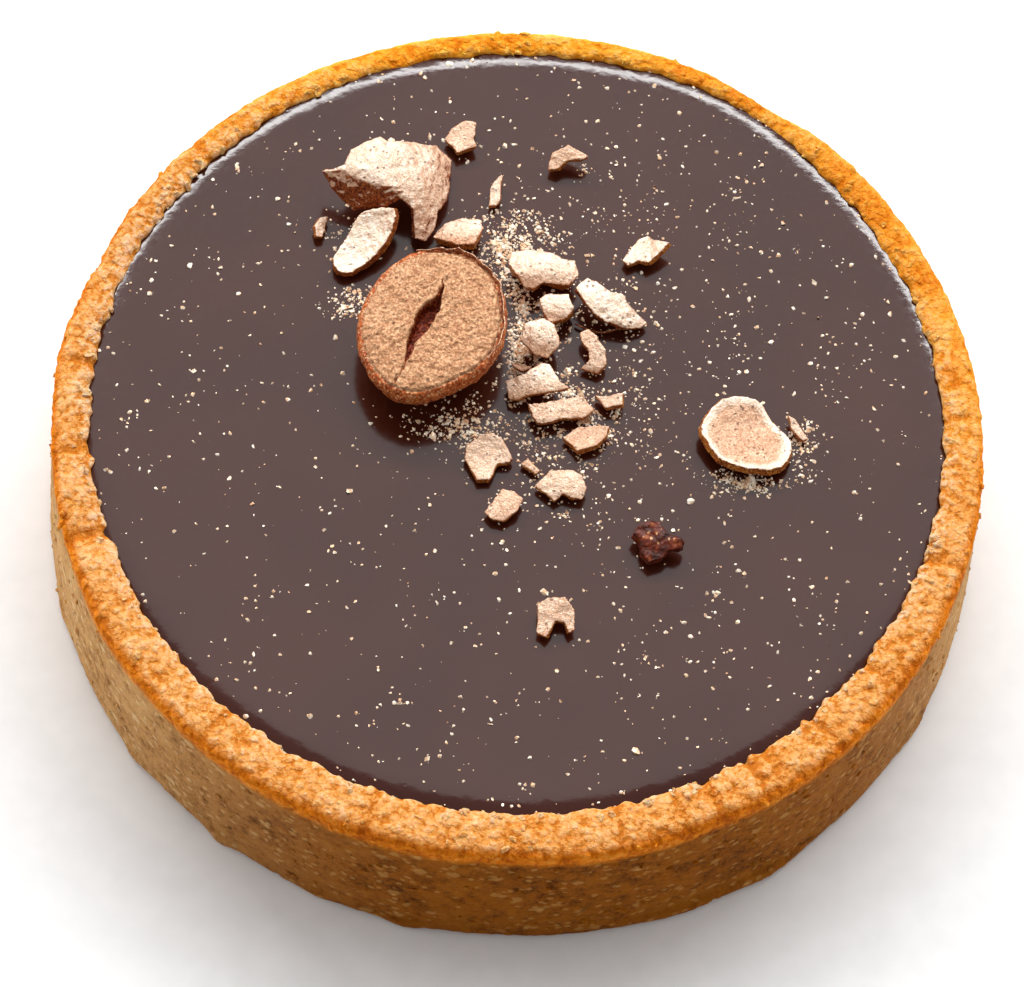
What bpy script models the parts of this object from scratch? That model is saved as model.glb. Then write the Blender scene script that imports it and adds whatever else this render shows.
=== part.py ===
"""Single-portion chocolate tart: a shortcrust case baked in a ring and filled with ganache.

It is dressed with half a hazelnut and broken shells, dusted with copper shimmer. Metres, +Z up, origin at the
centre of the base."""

import math

import bmesh
import bpy
from mathutils import Matrix, Vector

MM = 0.001
TAU = 2 * math.pi
GAP = 0.3 * MM  # kept between pieces that touch or rest on one another

# The case: a straight-sided ring of pastry with a flat floor.
RING_STEPS = 96
CASE_RADIUS = 40.0 * MM
BASE_RADIUS = 40.3 * MM
CASE_HEIGHT = 16.1 * MM
FLOOR_THICKNESS = 3.2 * MM
INNER_RADIUS = 36.7 * MM
INNER_TAPER = 0.9 * MM  # how much narrower the hollow is at its floor
RIM_OUTER_ROUND = 0.9 * MM
RIM_INNER_ROUND = 0.6 * MM
BASE_ROUND = 0.7 * MM
FLOOR_ROUND = 1.0 * MM
WALL_FLARE = 0.1 * MM  # the wall widens by this a little below the rim
WALL_FLARE_HEIGHT = 0.6 * CASE_HEIGHT
BASE_FLARE_HEIGHT = 0.3 * CASE_HEIGHT

# The hollow sits towards the back, which leaves the rim thin there and thick in front.
HOLLOW_SHIFT = 1.05 * MM
HOLLOW_SHIFT_ANGLE = math.radians(100)
THIN_SPOT = 0.6 * MM
THIN_SPOT_ANGLE = math.radians(68)
THIN_SPOT_SPREAD = math.radians(14)

# Low places where the strip of dough met itself or cracked: angle, half width, depth.
RIM_NOTCHES = (
    (math.radians(59), math.radians(3.5), 0.45 * MM),
    (math.radians(161), math.radians(3.5), 0.35 * MM),
    (math.radians(201), math.radians(3.0), 0.45 * MM),
)
RIM_WAVE = 0.06 * MM
RIM_WAVES = (5, 9)

# The filling, poured almost to the rim, with a rounded edge where it drew back from the pastry as it set.
FILL_BELOW_RIM = 0.6 * MM
FILL_TOP = CASE_HEIGHT - FILL_BELOW_RIM
FILL_SHOULDER_WIDTH = 2.2 * MM
FILL_SHOULDER_DROP = 0.5 * MM
FILL_SHOULDER_STEPS = 3
FILL_SIDE_GAP = 0.36 * MM
RESTING_LEVEL = FILL_TOP + GAP

# The hazelnut, cut across its waist and lying on its domed side.
NUT_CENTRE = (-8.4 * MM, 7.3 * MM)
NUT_HALF_WIDTH = 6.3 * MM
NUT_HALF_LENGTH = 7.5 * MM
NUT_DOME = 4.2 * MM
NUT_ABOVE_WAIST = 1.0 * MM
NUT_CROWN = 2.5 * MM
NUT_TURN = math.radians(-18)
NUT_LEAN = math.radians(-4)
NUT_POINT = 0.16  # how much its front end narrows
NUT_SEGMENTS = 28
NUT_RINGS = 16
HOLLOW_HALF_WIDTH = 0.95 * MM
HOLLOW_HALF_LENGTH = 4.3 * MM
HOLLOW_DEPTH = 2.6 * MM
HOLLOW_OFF_CENTRE = -0.5 * MM

# Broken pieces lying on the filling. Centre and outline are in millimetres, seen from above. Bow is how much
# the piece curves up (or down, below zero) towards its ends, in 1/mm along X and Y. Tilt is its slope along X
# and Y. Hub is the point that the rings of its mesh close on, from which its whole outline can be seen.
BROKEN_PIECES = {
    "shell_petal": {
        "centre": (-14.9, 16.2), "thick": 0.9, "rings": 4, "round": 2,
        "bow": (0.07, 0.05), "tilt": (0.22, 0.24),
        "outline": ((2.2, 2.7), (-0.3, 2.7), (-1.6, 0.6), (-2.6, -1.5), (-2.1, -2.7), (-0.8, -2.7),
                    (1.1, -1.1), (2.2, 1.0)),
    },
    "shell_round": {
        "centre": (19.5, 1.4), "thick": 0.8, "rings": 4, "round": 2,
        "bow": (0.035, 0.05), "tilt": (-0.09, -0.02),
        "outline": ((-3.9, -0.6), (-3.8, 0.7), (-2.4, 2.9), (-0.2, 3.5), (1.1, 3.0), (1.9, 1.6), (3.5, 0.2),
                    (3.9, -1.1), (3.0, -3.0), (0.6, -3.5), (-2.2, -2.9)),
    },
    "chunk_by_shell": {
        "centre": (-7.0, 18.2), "thick": 1.1, "rings": 2, "round": 1,
        "bow": (-0.06, -0.08), "tilt": (0.16, -0.16),
        "outline": ((-2.1, -0.6), (-1.3, 0.9), (0.3, 1.6), (1.9, 1.5), (2.1, 0.4), (1.6, -1.2), (0.2, -1.5)),
    },
    "chip_behind_shell": {
        "centre": (-7.6, 27.8), "thick": 0.7, "rings": 2, "round": 1,
        "bow": (-0.1, 0.06), "tilt": (0.1, 0.1),
        "outline": ((-1.5, -0.2), (-1.0, 0.9), (0.2, 1.6), (1.2, 1.6), (1.1, 0.0), (1.5, -0.7), (-0.2, -1.6),
                    (-0.6, -1.0)),
    },
    "chunk_long": {
        "centre": (0.7, 14.7), "thick": 2.0, "rings": 3, "round": 1,
        "bow": (-0.06, -0.14), "tilt": (-0.04, 0.08),
        "outline": ((-3.2, 0.5), (-2.9, 1.7), (-1.2, 2.1), (1.0, 1.8), (1.7, 1.5), (2.7, 1.6), (3.2, 0.1),
                    (2.4, -1.1), (0.1, -1.2), (-0.6, -1.8), (-1.4, -1.8), (-2.3, -0.7)),
    },
    "chunk_square": {
        "centre": (2.5, 11.5), "thick": 1.7, "rings": 2, "round": 1,
        "bow": (-0.06, -0.1), "tilt": (0.1, 0.12),
        "outline": ((-1.9, 0.6), (-1.4, 1.2), (0.6, 1.3), (1.2, -0.1), (0.6, -1.0), (-0.7, -1.5), (-1.4, -0.9)),
    },
    "shard_long": {
        "centre": (6.9, 12.3), "thick": 0.7, "rings": 3, "round": 1,
        "bow": (-0.05, -0.07), "tilt": (-0.2, 0.18),
        "outline": ((-3.3, 1.1), (-2.4, 2.1), (-1.5, 1.9), (-0.2, 1.0), (1.0, 1.0), (1.4, 0.3), (3.3, -0.8),
                    (2.7, -1.5), (1.4, -1.9), (-0.4, -1.7), (-1.5, -1.1), (-2.6, 0.0)),
    },
    "chunk_by_nut": {
        "centre": (1.0, 8.2), "thick": 2.1, "rings": 2, "round": 1,
        "bow": (-0.1, -0.12), "tilt": (0.05, 0.2),
        "outline": ((-1.8, -0.4), (-1.4, 1.2), (0.2, 1.8), (1.2, 1.2), (1.8, -0.6), (0.9, -1.8), (-0.4, -1.6)),
    },
    "flake_kidney": {
        "centre": (5.6, 8.0), "thick": 0.6, "rings": 2, "round": 1,
        "bow": (0.0, -0.07), "tilt": (0.14, 0.2),
        "hub": (0.8, -0.55),
        "outline": ((-1.2, 1.6), (-0.6, 2.0), (0.3, 1.4), (1.1, 0.1), (1.3, -1.2), (0.6, -2.0), (-0.9, -1.6),
                    (-0.2, -0.9), (-0.3, 0.0), (-1.0, 0.7)),
    },
    "flake_sliver": {
        "centre": (-0.2, 6.0), "thick": 0.5, "rings": 1, "round": 1,
        "bow": (0.0, 0.0), "tilt": (0.1, 0.25),
        "hub": (-0.4, -0.1),
        "outline": ((-1.2, 0.5), (-0.4, 0.1), (0.7, 0.2), (0.6, -0.2), (-0.1, -0.4), (-0.8, -0.1)),
    },
    "chunk_ridged": {
        "centre": (1.3, 4.3), "thick": 0.9, "rings": 3, "round": 1,
        "bow": (-0.07, -0.09), "tilt": (0.12, 0.1),
        "outline": ((-2.9, 0.0), (-1.3, 0.6), (0.1, 1.7), (0.7, 1.7), (1.2, 1.0), (1.9, -0.1), (2.7, -0.5),
                    (0.6, -1.2), (-1.1, -1.5), (-1.7, -1.8), (-2.5, -1.6)),
    },
    "shard_flat": {
        "centre": (3.4, 2.0), "thick": 0.7, "rings": 2, "round": 1,
        "bow": (-0.04, -0.08), "tilt": (-0.12, 0.1),
        "outline": ((-3.0, 0.1), (-1.3, 0.4), (0.7, 1.2), (1.6, 1.5), (3.0, 0.6), (2.2, -0.4), (0.4, -0.9),
                    (-0.7, -1.4), (-1.9, -1.6), (-2.6, -0.7)),
    },
    "chip_by_shard": {
        "centre": (7.3, 3.4), "thick": 0.8, "rings": 1, "round": 1,
        "bow": (0.0, 0.0), "tilt": (0.22, 0.1),
        "outline": ((-1.3, 0.5), (-0.1, 0.4), (1.2, 0.7), (1.3, -0.4), (-0.1, -0.7)),
    },
    "flake_fan": {
        "centre": (5.7, -0.4), "thick": 0.6, "rings": 2, "round": 1,
        "bow": (0.06, 0.08), "tilt": (0.16, -0.1),
        "outline": ((-1.9, 0.0), (-0.6, 1.2), (0.8, 1.3), (1.9, 1.2), (1.7, 0.2), (1.0, -0.6), (-0.5, -1.3)),
    },
    "flake_bitten": {
        "centre": (-2.3, -3.1), "thick": 0.6, "rings": 3, "round": 1,
        "bow": (0.02, 0.05), "tilt": (0.05, 0.12),
        "outline": ((-2.1, -0.1), (-2.0, 1.0), (-0.8, 2.0), (0.0, 2.2), (0.9, 1.8), (2.0, 0.1), (1.6, -0.3),
                    (0.7, -0.5), (0.5, -1.5), (0.1, -2.2), (-0.9, -2.2)),
    },
    "flake_bar": {
        "centre": (1.3, -3.5), "thick": 0.5, "rings": 1, "round": 1,
        "bow": (0.0, 0.0), "tilt": (0.05, 0.1),
        "outline": ((-0.9, 0.3), (-0.4, 0.8), (0.8, -0.3), (0.4, -0.7)),
    },
    "flake_notched": {
        "centre": (4.0, -5.1), "thick": 0.6, "rings": 3, "round": 1,
        "bow": (-0.04, -0.1), "tilt": (0.02, 0.1),
        "outline": ((-2.3, -0.2), (-1.0, 1.3), (0.9, 1.6), (1.7, 1.2), (2.3, 0.0), (1.9, -1.0), (1.0, -1.1),
                    (0.2, -0.8), (-0.5, -1.6), (-1.3, -0.8)),
    },
    "flake_leaf": {
        "centre": (-0.7, -7.5), "thick": 0.6, "rings": 2, "round": 1,
        "bow": (-0.05, -0.06), "tilt": (0.05, 0.08),
        "outline": ((-1.6, -0.7), (-0.9, 0.5), (-0.3, 1.5), (0.8, 1.4), (1.6, 0.8), (1.1, -0.5), (0.1, -1.5),
                    (-0.9, -1.4)),
    },
    "flake_arched": {
        "centre": (4.7, -17.8), "thick": 0.6, "rings": 2, "round": 1,
        "bow": (-0.12, 0.04), "tilt": (0.04, 0.16),
        "hub": (0.2, 1.6),
        "outline": ((-1.7, 1.3), (-0.9, 1.7), (0.5, 1.9), (1.5, 1.0), (1.7, -0.8), (1.1, -1.2), (0.7, -0.3),
                    (-0.2, -0.3), (-0.7, -1.7), (-1.6, -1.4)),
    },
    "flake_crescent": {
        "centre": (2.0, 26.7), "thick": 0.6, "rings": 1, "round": 1,
        "bow": (-0.1, 0.0), "tilt": (0.18, 0.3),
        "outline": ((-1.7, -1.1), (-1.5, 0.4), (-0.2, 1.1), (1.7, 0.2), (1.2, -0.2), (0.0, -0.3), (-0.8, -1.0)),
    },
    "flake_raised": {
        "centre": (9.4, 18.5), "thick": 0.6, "rings": 2, "round": 1,
        "bow": (0.05, -0.05), "tilt": (0.34, -0.12),
        "outline": ((-2.0, -1.0), (-1.4, 0.1), (-0.8, 1.0), (0.1, 1.6), (0.6, 1.0), (2.0, 0.5), (1.5, -0.2),
                    (0.3, -1.4), (-0.7, -1.1), (-1.4, -1.6)),
    },
    "chip_by_round_shell": {
        "centre": (23.7, 2.6), "thick": 0.5, "rings": 1, "round": 1,
        "bow": (0.0, 0.0), "tilt": (-0.1, 0.1),
        "outline": ((-0.9, 1.1), (-0.2, 0.8), (1.1, -0.8), (0.4, -1.0), (-0.5, -0.2)),
    },
    "chip_standing": {
        "centre": (-18.8, 17.8), "thick": 0.6, "rings": 1, "round": 1,
        "bow": (0.0, 0.0), "tilt": (-0.5, 0.1),
        "outline": ((-0.3, -1.1), (-0.6, -0.2), (-0.1, 0.8), (0.5, 1.1), (0.4, 0.0), (0.2, -1.1)),
    },
    "sliver_behind": {
        "centre": (-4.1, 23.1), "thick": 0.5, "rings": 1, "round": 1,
        "bow": (0.0, 0.0), "tilt": (0.2, 0.1),
        "outline": ((-0.5, -1.6), (-0.5, 0.1), (0.1, 1.3), (0.5, 1.6), (0.4, -1.0), (0.1, -1.6)),
    },
    "chocolate_bit": {
        "centre": (12.6, -9.8), "thick": 1.1, "rings": 2, "round": 1,
        "bow": (0.08, -0.07), "tilt": (0.05, 0.1),
        "outline": ((-2.1, 0.3), (-1.6, 1.4), (-0.6, 2.0), (0.3, 1.8), (0.8, 0.8), (2.1, 0.2), (1.9, -0.5),
                    (1.0, -0.7), (0.5, -1.6), (-0.5, -2.0), (-1.3, -1.3), (-1.4, -0.2)),
    },
}
DARK_PIECES = ("chocolate_bit",)
SHARP_EDGE = math.radians(40)
SHARP_EDGE_OF_SHEET = math.radians(50)
SAME_POINT = 0.01 * MM

# The largest shell: a domed piece whose near left part folds down steeply to the filling.
SHELL_CENTRE = (-13.7, 21.5)
SHELL_OUTLINE = (
    (-5.6, 0.1), (-3.7, 0.6), (-3.2, 2.1), (-2.1, 3.1), (-0.8, 3.9), (-0.1, 3.4), (1.3, 4.0), (4.1, 4.8),
    (5.6, 4.0), (5.6, -0.2), (4.9, -1.5), (4.9, -2.6), (4.1, -4.2), (3.2, -4.3), (2.6, -2.2), (1.5, -1.6),
    (0.4, -2.0), (-1.0, -2.1), (-2.5, -2.3), (-4.0, -1.4),
)
SHELL_HUB = (2.6, 0.2)
SHELL_RINGS = 5
SHELL_THICKNESS = 0.8
SHELL_CREST = (-2.0, 1.6)
SHELL_DOME = 0.055  # drop from the crest, in 1/mm
SHELL_FOLD_START = (-5.6, 0.1)
SHELL_FOLD_END = (0.4, -1.0)
SHELL_FOLD_SLOPE = 1.3
SHELL_FOLD_FADE = 2.2  # the fold dies out over this far past its end

PASTRY = ("baked_shortcrust", (0.66, 0.34, 0.11), 0.75, 0.0)
GANACHE = ("set_ganache", (0.028, 0.011, 0.007), 0.18, 0.0)
NUT = ("copper_dusted_hazelnut", (0.62, 0.34, 0.20), 0.5, 0.35)
SHELL = ("copper_dusted_shell", (0.80, 0.56, 0.40), 0.5, 0.35)
CHOCOLATE = ("dark_chocolate", (0.05, 0.014, 0.008), 0.3, 0.0)


def clear_scene():
    for obj in list(bpy.data.objects):
        bpy.data.objects.remove(obj)


def new_collection(name):
    collection = bpy.data.collections.new(name)
    bpy.context.scene.collection.children.link(collection)
    return collection


def principled(name, colour, roughness, metallic):
    material = bpy.data.materials.new(name)
    material.use_nodes = True
    shader = material.node_tree.nodes["Principled BSDF"]
    shader.inputs["Base Color"].default_value = (*colour, 1.0)
    shader.inputs["Roughness"].default_value = roughness
    shader.inputs["Metallic"].default_value = metallic
    return material


def add_object(collection, name, mesh, material):
    obj = bpy.data.objects.new(name, mesh)
    collection.objects.link(obj)
    if material:
        mesh.materials.append(material)
    return obj


def freeze(obj):
    """Applies the modifiers, so that the result can be shaped point by point."""
    graph = bpy.context.evaluated_depsgraph_get()
    mesh = bpy.data.meshes.new_from_object(obj.evaluated_get(graph))
    obj.modifiers.clear()
    obj.data = mesh
    return mesh


def smooth_round(mesh, sharpest=SHARP_EDGE):
    mesh.shade_smooth()
    mesh.set_sharp_from_angle(angle=sharpest)


def arc(centre_r, centre_z, radius, start, end, steps=4):
    """Points of a quarter turn in the profile, from one angle in degrees to another."""
    points = []
    for step in range(steps + 1):
        angle = math.radians(start + (end - start) * step / steps)
        points.append((centre_r + radius * math.cos(angle), centre_z + radius * math.sin(angle)))
    return points


def turned(collection, name, profile, material):
    """A profile of (radius, height) points turned about the Z axis."""
    mesh = bpy.data.meshes.new(name)
    edges = [(i, i + 1) for i in range(len(profile) - 1)]
    mesh.from_pydata([(r, 0.0, z) for r, z in profile], edges, [])
    obj = add_object(collection, name, mesh, material)
    screw = obj.modifiers.new("turn", "SCREW")
    screw.steps = RING_STEPS
    screw.render_steps = RING_STEPS
    screw.use_merge_vertices = True
    screw.merge_threshold = SAME_POINT
    return obj


def swell(angle, centre, spread):
    """1 at the centre angle, fading to 0 either side of it."""
    away = (angle - centre + math.pi) % TAU - math.pi
    return math.exp(-((away / spread) ** 2))


def inner_radius(angle):
    shift = HOLLOW_SHIFT * math.cos(angle - HOLLOW_SHIFT_ANGLE)
    return INNER_RADIUS + shift + THIN_SPOT * swell(angle, THIN_SPOT_ANGLE, THIN_SPOT_SPREAD)


def rim_dip(angle):
    dip = sum(depth * swell(angle, place, width) for place, width, depth in RIM_NOTCHES)
    wave = sum(math.sin(count * angle + count) for count in RIM_WAVES)
    return dip + RIM_WAVE * wave


def set_off_centre(mesh, uneven_rim):
    """Moves the hollow of a turned case, or a filling turned to fit it, towards the back of the case."""
    for vertex in mesh.vertices:
        x, y, z = vertex.co
        radius = math.hypot(x, y)
        if radius < MM:
            continue
        angle = math.atan2(y, x)
        inner = inner_radius(angle)
        if radius <= INNER_RADIUS:
            moved = radius * inner / INNER_RADIUS
        else:
            moved = inner + (radius - INNER_RADIUS) * (CASE_RADIUS - inner) / (CASE_RADIUS - INNER_RADIUS)
        if uneven_rim and z > FILL_TOP:
            vertex.co.z -= rim_dip(angle)
            if radius > CASE_RADIUS - RIM_OUTER_ROUND:
                moved -= rim_dip(angle)
        vertex.co.x = moved * math.cos(angle)
        vertex.co.y = moved * math.sin(angle)


def make_case(collection, material):
    foot = INNER_RADIUS - INNER_TAPER
    profile = [(0.0, FLOOR_THICKNESS)]
    profile += arc(foot - FLOOR_ROUND, FLOOR_THICKNESS + FLOOR_ROUND, FLOOR_ROUND, -90, 0, 2)
    profile += arc(INNER_RADIUS + RIM_INNER_ROUND, CASE_HEIGHT - RIM_INNER_ROUND, RIM_INNER_ROUND, 180, 90, 3)
    profile += arc(CASE_RADIUS - RIM_OUTER_ROUND, CASE_HEIGHT - RIM_OUTER_ROUND, RIM_OUTER_ROUND, 90, 0, 3)
    profile += [(CASE_RADIUS + WALL_FLARE, WALL_FLARE_HEIGHT), (BASE_RADIUS, BASE_FLARE_HEIGHT)]
    profile += arc(BASE_RADIUS - BASE_ROUND, BASE_ROUND, BASE_ROUND, 0, -90, 3)
    profile += [(0.0, 0.0)]
    case = turned(collection, "crust", profile, material)
    mesh = freeze(case)
    set_off_centre(mesh, uneven_rim=True)
    smooth_round(mesh)
    return case


def make_filling(collection, material):
    edge = INNER_RADIUS - FILL_SIDE_GAP
    foot = edge - INNER_TAPER
    low = FLOOR_THICKNESS + GAP
    profile = [(0.0, FILL_TOP), (edge * 0.5, FILL_TOP)]
    for step in range(FILL_SHOULDER_STEPS + 1):
        out = step / FILL_SHOULDER_STEPS
        profile.append((edge - FILL_SHOULDER_WIDTH * (1 - out), FILL_TOP - FILL_SHOULDER_DROP * out**2))
    profile += [(foot, low + FLOOR_ROUND), (foot - FLOOR_ROUND, low), (0.0, low)]
    filling = turned(collection, "ganache", profile, material)
    mesh = freeze(filling)
    set_off_centre(mesh, uneven_rim=False)
    smooth_round(mesh)
    return filling


def settle(mesh, level):
    """Lifts or lowers a piece until its lowest point is at the level."""
    lowest = min(vertex.co.z for vertex in mesh.vertices)
    mesh.transform(Matrix.Translation((0, 0, level - lowest)))


def rounded_outline(outline, steps):
    """The outline with a smooth curve of extra points between its own ones."""
    count = len(outline)
    points = [Vector(point) for point in outline]
    result = []
    for i, here in enumerate(points):
        before, after, later = points[i - 1], points[(i + 1) % count], points[(i + 2) % count]
        for step in range(steps):
            t = step / steps
            bend = (after - before) * t + (2 * before - 5 * here + 4 * after - later) * t**2
            bend += (3 * here - before - 3 * after + later) * t**3
            result.append(here + bend * 0.5)
    return result


def broken_sheet(collection, name, centre, outline, hub, rings, height, thick, material):
    """A thin broken piece: rings of the outline round its hub, raised by height(x, y), then given thickness."""
    mesh_data = bmesh.new()
    middle = Vector(hub)
    centre_vertex = mesh_data.verts.new((middle.x, middle.y, height(middle.x, middle.y)))
    previous = None
    for ring in range(1, rings + 1):
        points = [middle.lerp(Vector(point), ring / rings) for point in outline]
        current = [mesh_data.verts.new((p.x, p.y, height(p.x, p.y))) for p in points]
        for i, vertex in enumerate(current):
            if previous:
                mesh_data.faces.new((previous[i - 1], current[i - 1], vertex, previous[i]))
            else:
                mesh_data.faces.new((centre_vertex, current[i - 1], vertex))
        previous = current
    bmesh.ops.recalc_face_normals(mesh_data, faces=mesh_data.faces)
    if sum(face.normal.z for face in mesh_data.faces) < 0:
        bmesh.ops.reverse_faces(mesh_data, faces=mesh_data.faces)
    bmesh.ops.translate(mesh_data, verts=mesh_data.verts, vec=(*centre, 0))
    bmesh.ops.scale(mesh_data, verts=mesh_data.verts, vec=(MM, MM, MM))
    mesh = bpy.data.meshes.new(name)
    mesh_data.to_mesh(mesh)
    mesh_data.free()
    piece = add_object(collection, name, mesh, material)
    shell = piece.modifiers.new("thickness", "SOLIDIFY")
    shell.thickness = thick * MM
    shell.offset = -1
    mesh = freeze(piece)
    settle(mesh, RESTING_LEVEL)
    smooth_round(mesh, SHARP_EDGE_OF_SHEET)
    return piece


def bowed(bow, tilt):
    """The height of a piece that curves and leans, over its own (x, y) in millimetres."""
    def height(x, y):
        return bow[0] * x * x + bow[1] * y * y + tilt[0] * x + tilt[1] * y
    return height


def folded_shell_height(x, y):
    """Domed behind the fold line, and falling steeply in front of it."""
    away = Vector((x, y)) - Vector(SHELL_CREST)
    dome = -SHELL_DOME * away.length_squared
    start = Vector(SHELL_FOLD_START)
    along = (Vector(SHELL_FOLD_END) - start).normalized()
    offset = Vector((x, y)) - start
    in_front = along.y * offset.x - along.x * offset.y
    past_end = max(0.0, x - SHELL_FOLD_END[0]) / SHELL_FOLD_FADE
    return dome - SHELL_FOLD_SLOPE * max(0.0, in_front) * max(0.0, 1 - past_end)


def make_broken_pieces(collection, shell_material, dark_material):
    broken_sheet(
        collection, "shell_folded", SHELL_CENTRE, SHELL_OUTLINE, SHELL_HUB, SHELL_RINGS, folded_shell_height,
        SHELL_THICKNESS, shell_material,
    )
    for name, piece in BROKEN_PIECES.items():
        material = dark_material if name in DARK_PIECES else shell_material
        outline = rounded_outline(piece["outline"], piece["round"])
        hub = piece.get("hub", (0.0, 0.0))
        height = bowed(piece["bow"], piece["tilt"])
        broken_sheet(
            collection, name, piece["centre"], outline, hub, piece["rings"], height, piece["thick"], material
        )


def make_nut(collection, cutters, material):
    """The lower part of an egg shape, its cut face up, with a lens-shaped hollow in the face."""
    data = bmesh.new()
    bmesh.ops.create_uvsphere(data, u_segments=NUT_SEGMENTS, v_segments=NUT_RINGS, radius=1.0)
    for vertex in data.verts:
        x, y, z = vertex.co
        narrowing = 1 - NUT_POINT * max(0.0, -y) ** 2
        depth = NUT_CROWN if z > 0 else NUT_DOME
        vertex.co = (x * narrowing * NUT_HALF_WIDTH, y * NUT_HALF_LENGTH, z * depth)
    everything = data.verts[:] + data.edges[:] + data.faces[:]
    cut = bmesh.ops.bisect_plane(
        data, geom=everything, plane_co=(0, 0, NUT_ABOVE_WAIST), plane_no=(0, 0, 1), clear_outer=True
    )
    rim = [item for item in cut["geom_cut"] if isinstance(item, bmesh.types.BMEdge)]
    bmesh.ops.contextual_create(data, geom=rim)
    mesh = bpy.data.meshes.new("hazelnut_half")
    data.to_mesh(mesh)
    data.free()
    nut = add_object(collection, "hazelnut_half", mesh, material)

    bpy.ops.mesh.primitive_uv_sphere_add(segments=16, ring_count=10, radius=1.0)
    lens = bpy.context.object
    lens.name = "hazelnut_hollow_cutter"
    lens.data.transform(Matrix.Diagonal((HOLLOW_HALF_WIDTH, HOLLOW_HALF_LENGTH, HOLLOW_DEPTH, 1.0)))
    lens.data.transform(Matrix.Translation((HOLLOW_OFF_CENTRE, 0, NUT_ABOVE_WAIST)))
    for owner in list(lens.users_collection):
        owner.objects.unlink(lens)
    cutters.objects.link(lens)
    lens.hide_render = True
    lens.display_type = "WIRE"
    hollow = nut.modifiers.new("hollow", "BOOLEAN")
    hollow.operation = "DIFFERENCE"
    hollow.object = lens
    mesh = freeze(nut)
    mesh.transform(Matrix.Rotation(NUT_TURN, 4, "Z"))
    mesh.transform(Matrix.Rotation(NUT_LEAN, 4, "Y"))
    mesh.transform(Matrix.Translation((*NUT_CENTRE, 0)))
    settle(mesh, RESTING_LEVEL)
    smooth_round(mesh)
    return nut


def main():
    clear_scene()
    tart = new_collection("chocolate_tart")
    cutters = new_collection("cutters")
    cutters.hide_render = True
    make_case(tart, principled(*PASTRY))
    make_filling(tart, principled(*GANACHE))
    make_nut(tart, cutters, principled(*NUT))
    make_broken_pieces(tart, principled(*SHELL), principled(*CHOCOLATE))


main()
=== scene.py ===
import math

import bmesh
import bpy
import numpy as np
from bpy.props import FloatProperty, FloatVectorProperty, IntProperty, PointerProperty
from mathutils import Matrix, Vector


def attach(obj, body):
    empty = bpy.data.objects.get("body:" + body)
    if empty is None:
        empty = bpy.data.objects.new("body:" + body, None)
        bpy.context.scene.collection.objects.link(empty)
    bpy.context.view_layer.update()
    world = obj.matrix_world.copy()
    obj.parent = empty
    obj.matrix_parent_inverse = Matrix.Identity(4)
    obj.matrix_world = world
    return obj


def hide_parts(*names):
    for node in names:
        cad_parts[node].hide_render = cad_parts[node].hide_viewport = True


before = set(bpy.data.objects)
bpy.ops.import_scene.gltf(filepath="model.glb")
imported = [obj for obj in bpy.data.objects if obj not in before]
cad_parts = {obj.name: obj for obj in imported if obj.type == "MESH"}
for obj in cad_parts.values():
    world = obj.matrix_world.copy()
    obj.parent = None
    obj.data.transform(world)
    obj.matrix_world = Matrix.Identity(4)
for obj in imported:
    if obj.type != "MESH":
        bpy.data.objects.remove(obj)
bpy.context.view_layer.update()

bl_info = {
    "name": "Chocolate Tart",
    "version": (1, 0, 0),
    "blender": (4, 5, 0),
    "location": "View3D > Sidebar > Tart",
    "description": "Builds the looks of a single-portion chocolate tart round its fixed frame",
    "category": "Add Mesh",
}

BODY = "root"
MM = 0.001
TAU = 2 * math.pi

# The case, as the frame has it. Lengths are in millimetres up to where a mesh is written, and angles are
# measured from +X towards +Y.
CASE_RADIUS = 40.0
BASE_RADIUS = 40.3
CASE_HEIGHT = 16.1
FLOOR_THICKNESS = 3.2
INNER_RADIUS = 36.7
INNER_TAPER = 0.9
RIM_OUTER_ROUND = 0.9
RIM_INNER_ROUND = 0.6
BASE_ROUND = 0.7
HOLLOW_SHIFT = 1.05
HOLLOW_SHIFT_ANGLE = math.radians(100)
THIN_SPOT = 0.6
THIN_SPOT_ANGLE = math.radians(68)
THIN_SPOT_SPREAD = math.radians(14)
# Angle and half width in degrees, and depth: where the rim dips.
RIM_NOTCHES = ((59, 3.5, 0.45), (161, 3.5, 0.35), (201, 3.0, 0.45), (280, 3.0, 0.12), (25, 3.0, 0.12))
RIM_WAVE = 0.06
RIM_WAVES = (5, 9)
RIM_MIDDLE = 38.6
RIM_CROWN = 0.22
RIM_LOWER_AT_BACK = 0.22
# Angle and half width in degrees, and depth as a share: where the rim is cracked across.
CRACK_DEPTH = 0.6
RIM_CRACKS = (
    (201, 0.8, 0.7), (296, 0.6, 0.5), (300.5, 0.8, 0.7), (307, 0.5, 0.9), (310, 0.9, 0.5), (318, 0.6, 0.8),
    (329, 0.7, 0.5), (288, 0.7, 0.4), (256, 0.6, 0.4), (233, 0.6, 0.5), (189, 0.6, 0.5), (176, 0.8, 0.5),
    (347, 0.7, 0.6), (8, 0.7, 0.4), (141, 0.7, 0.4),
)
# How often the inner edge of the rim wavers in a turn, and how far.
EDGE_SCALLOPS = ((37, 0.10), (66, 0.09), (101, 0.06), (155, 0.04))
# Angle and half width in degrees, and reach: where the inner edge is bitten away.
EDGE_BITES = ((203, 4, -0.35),)
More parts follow.
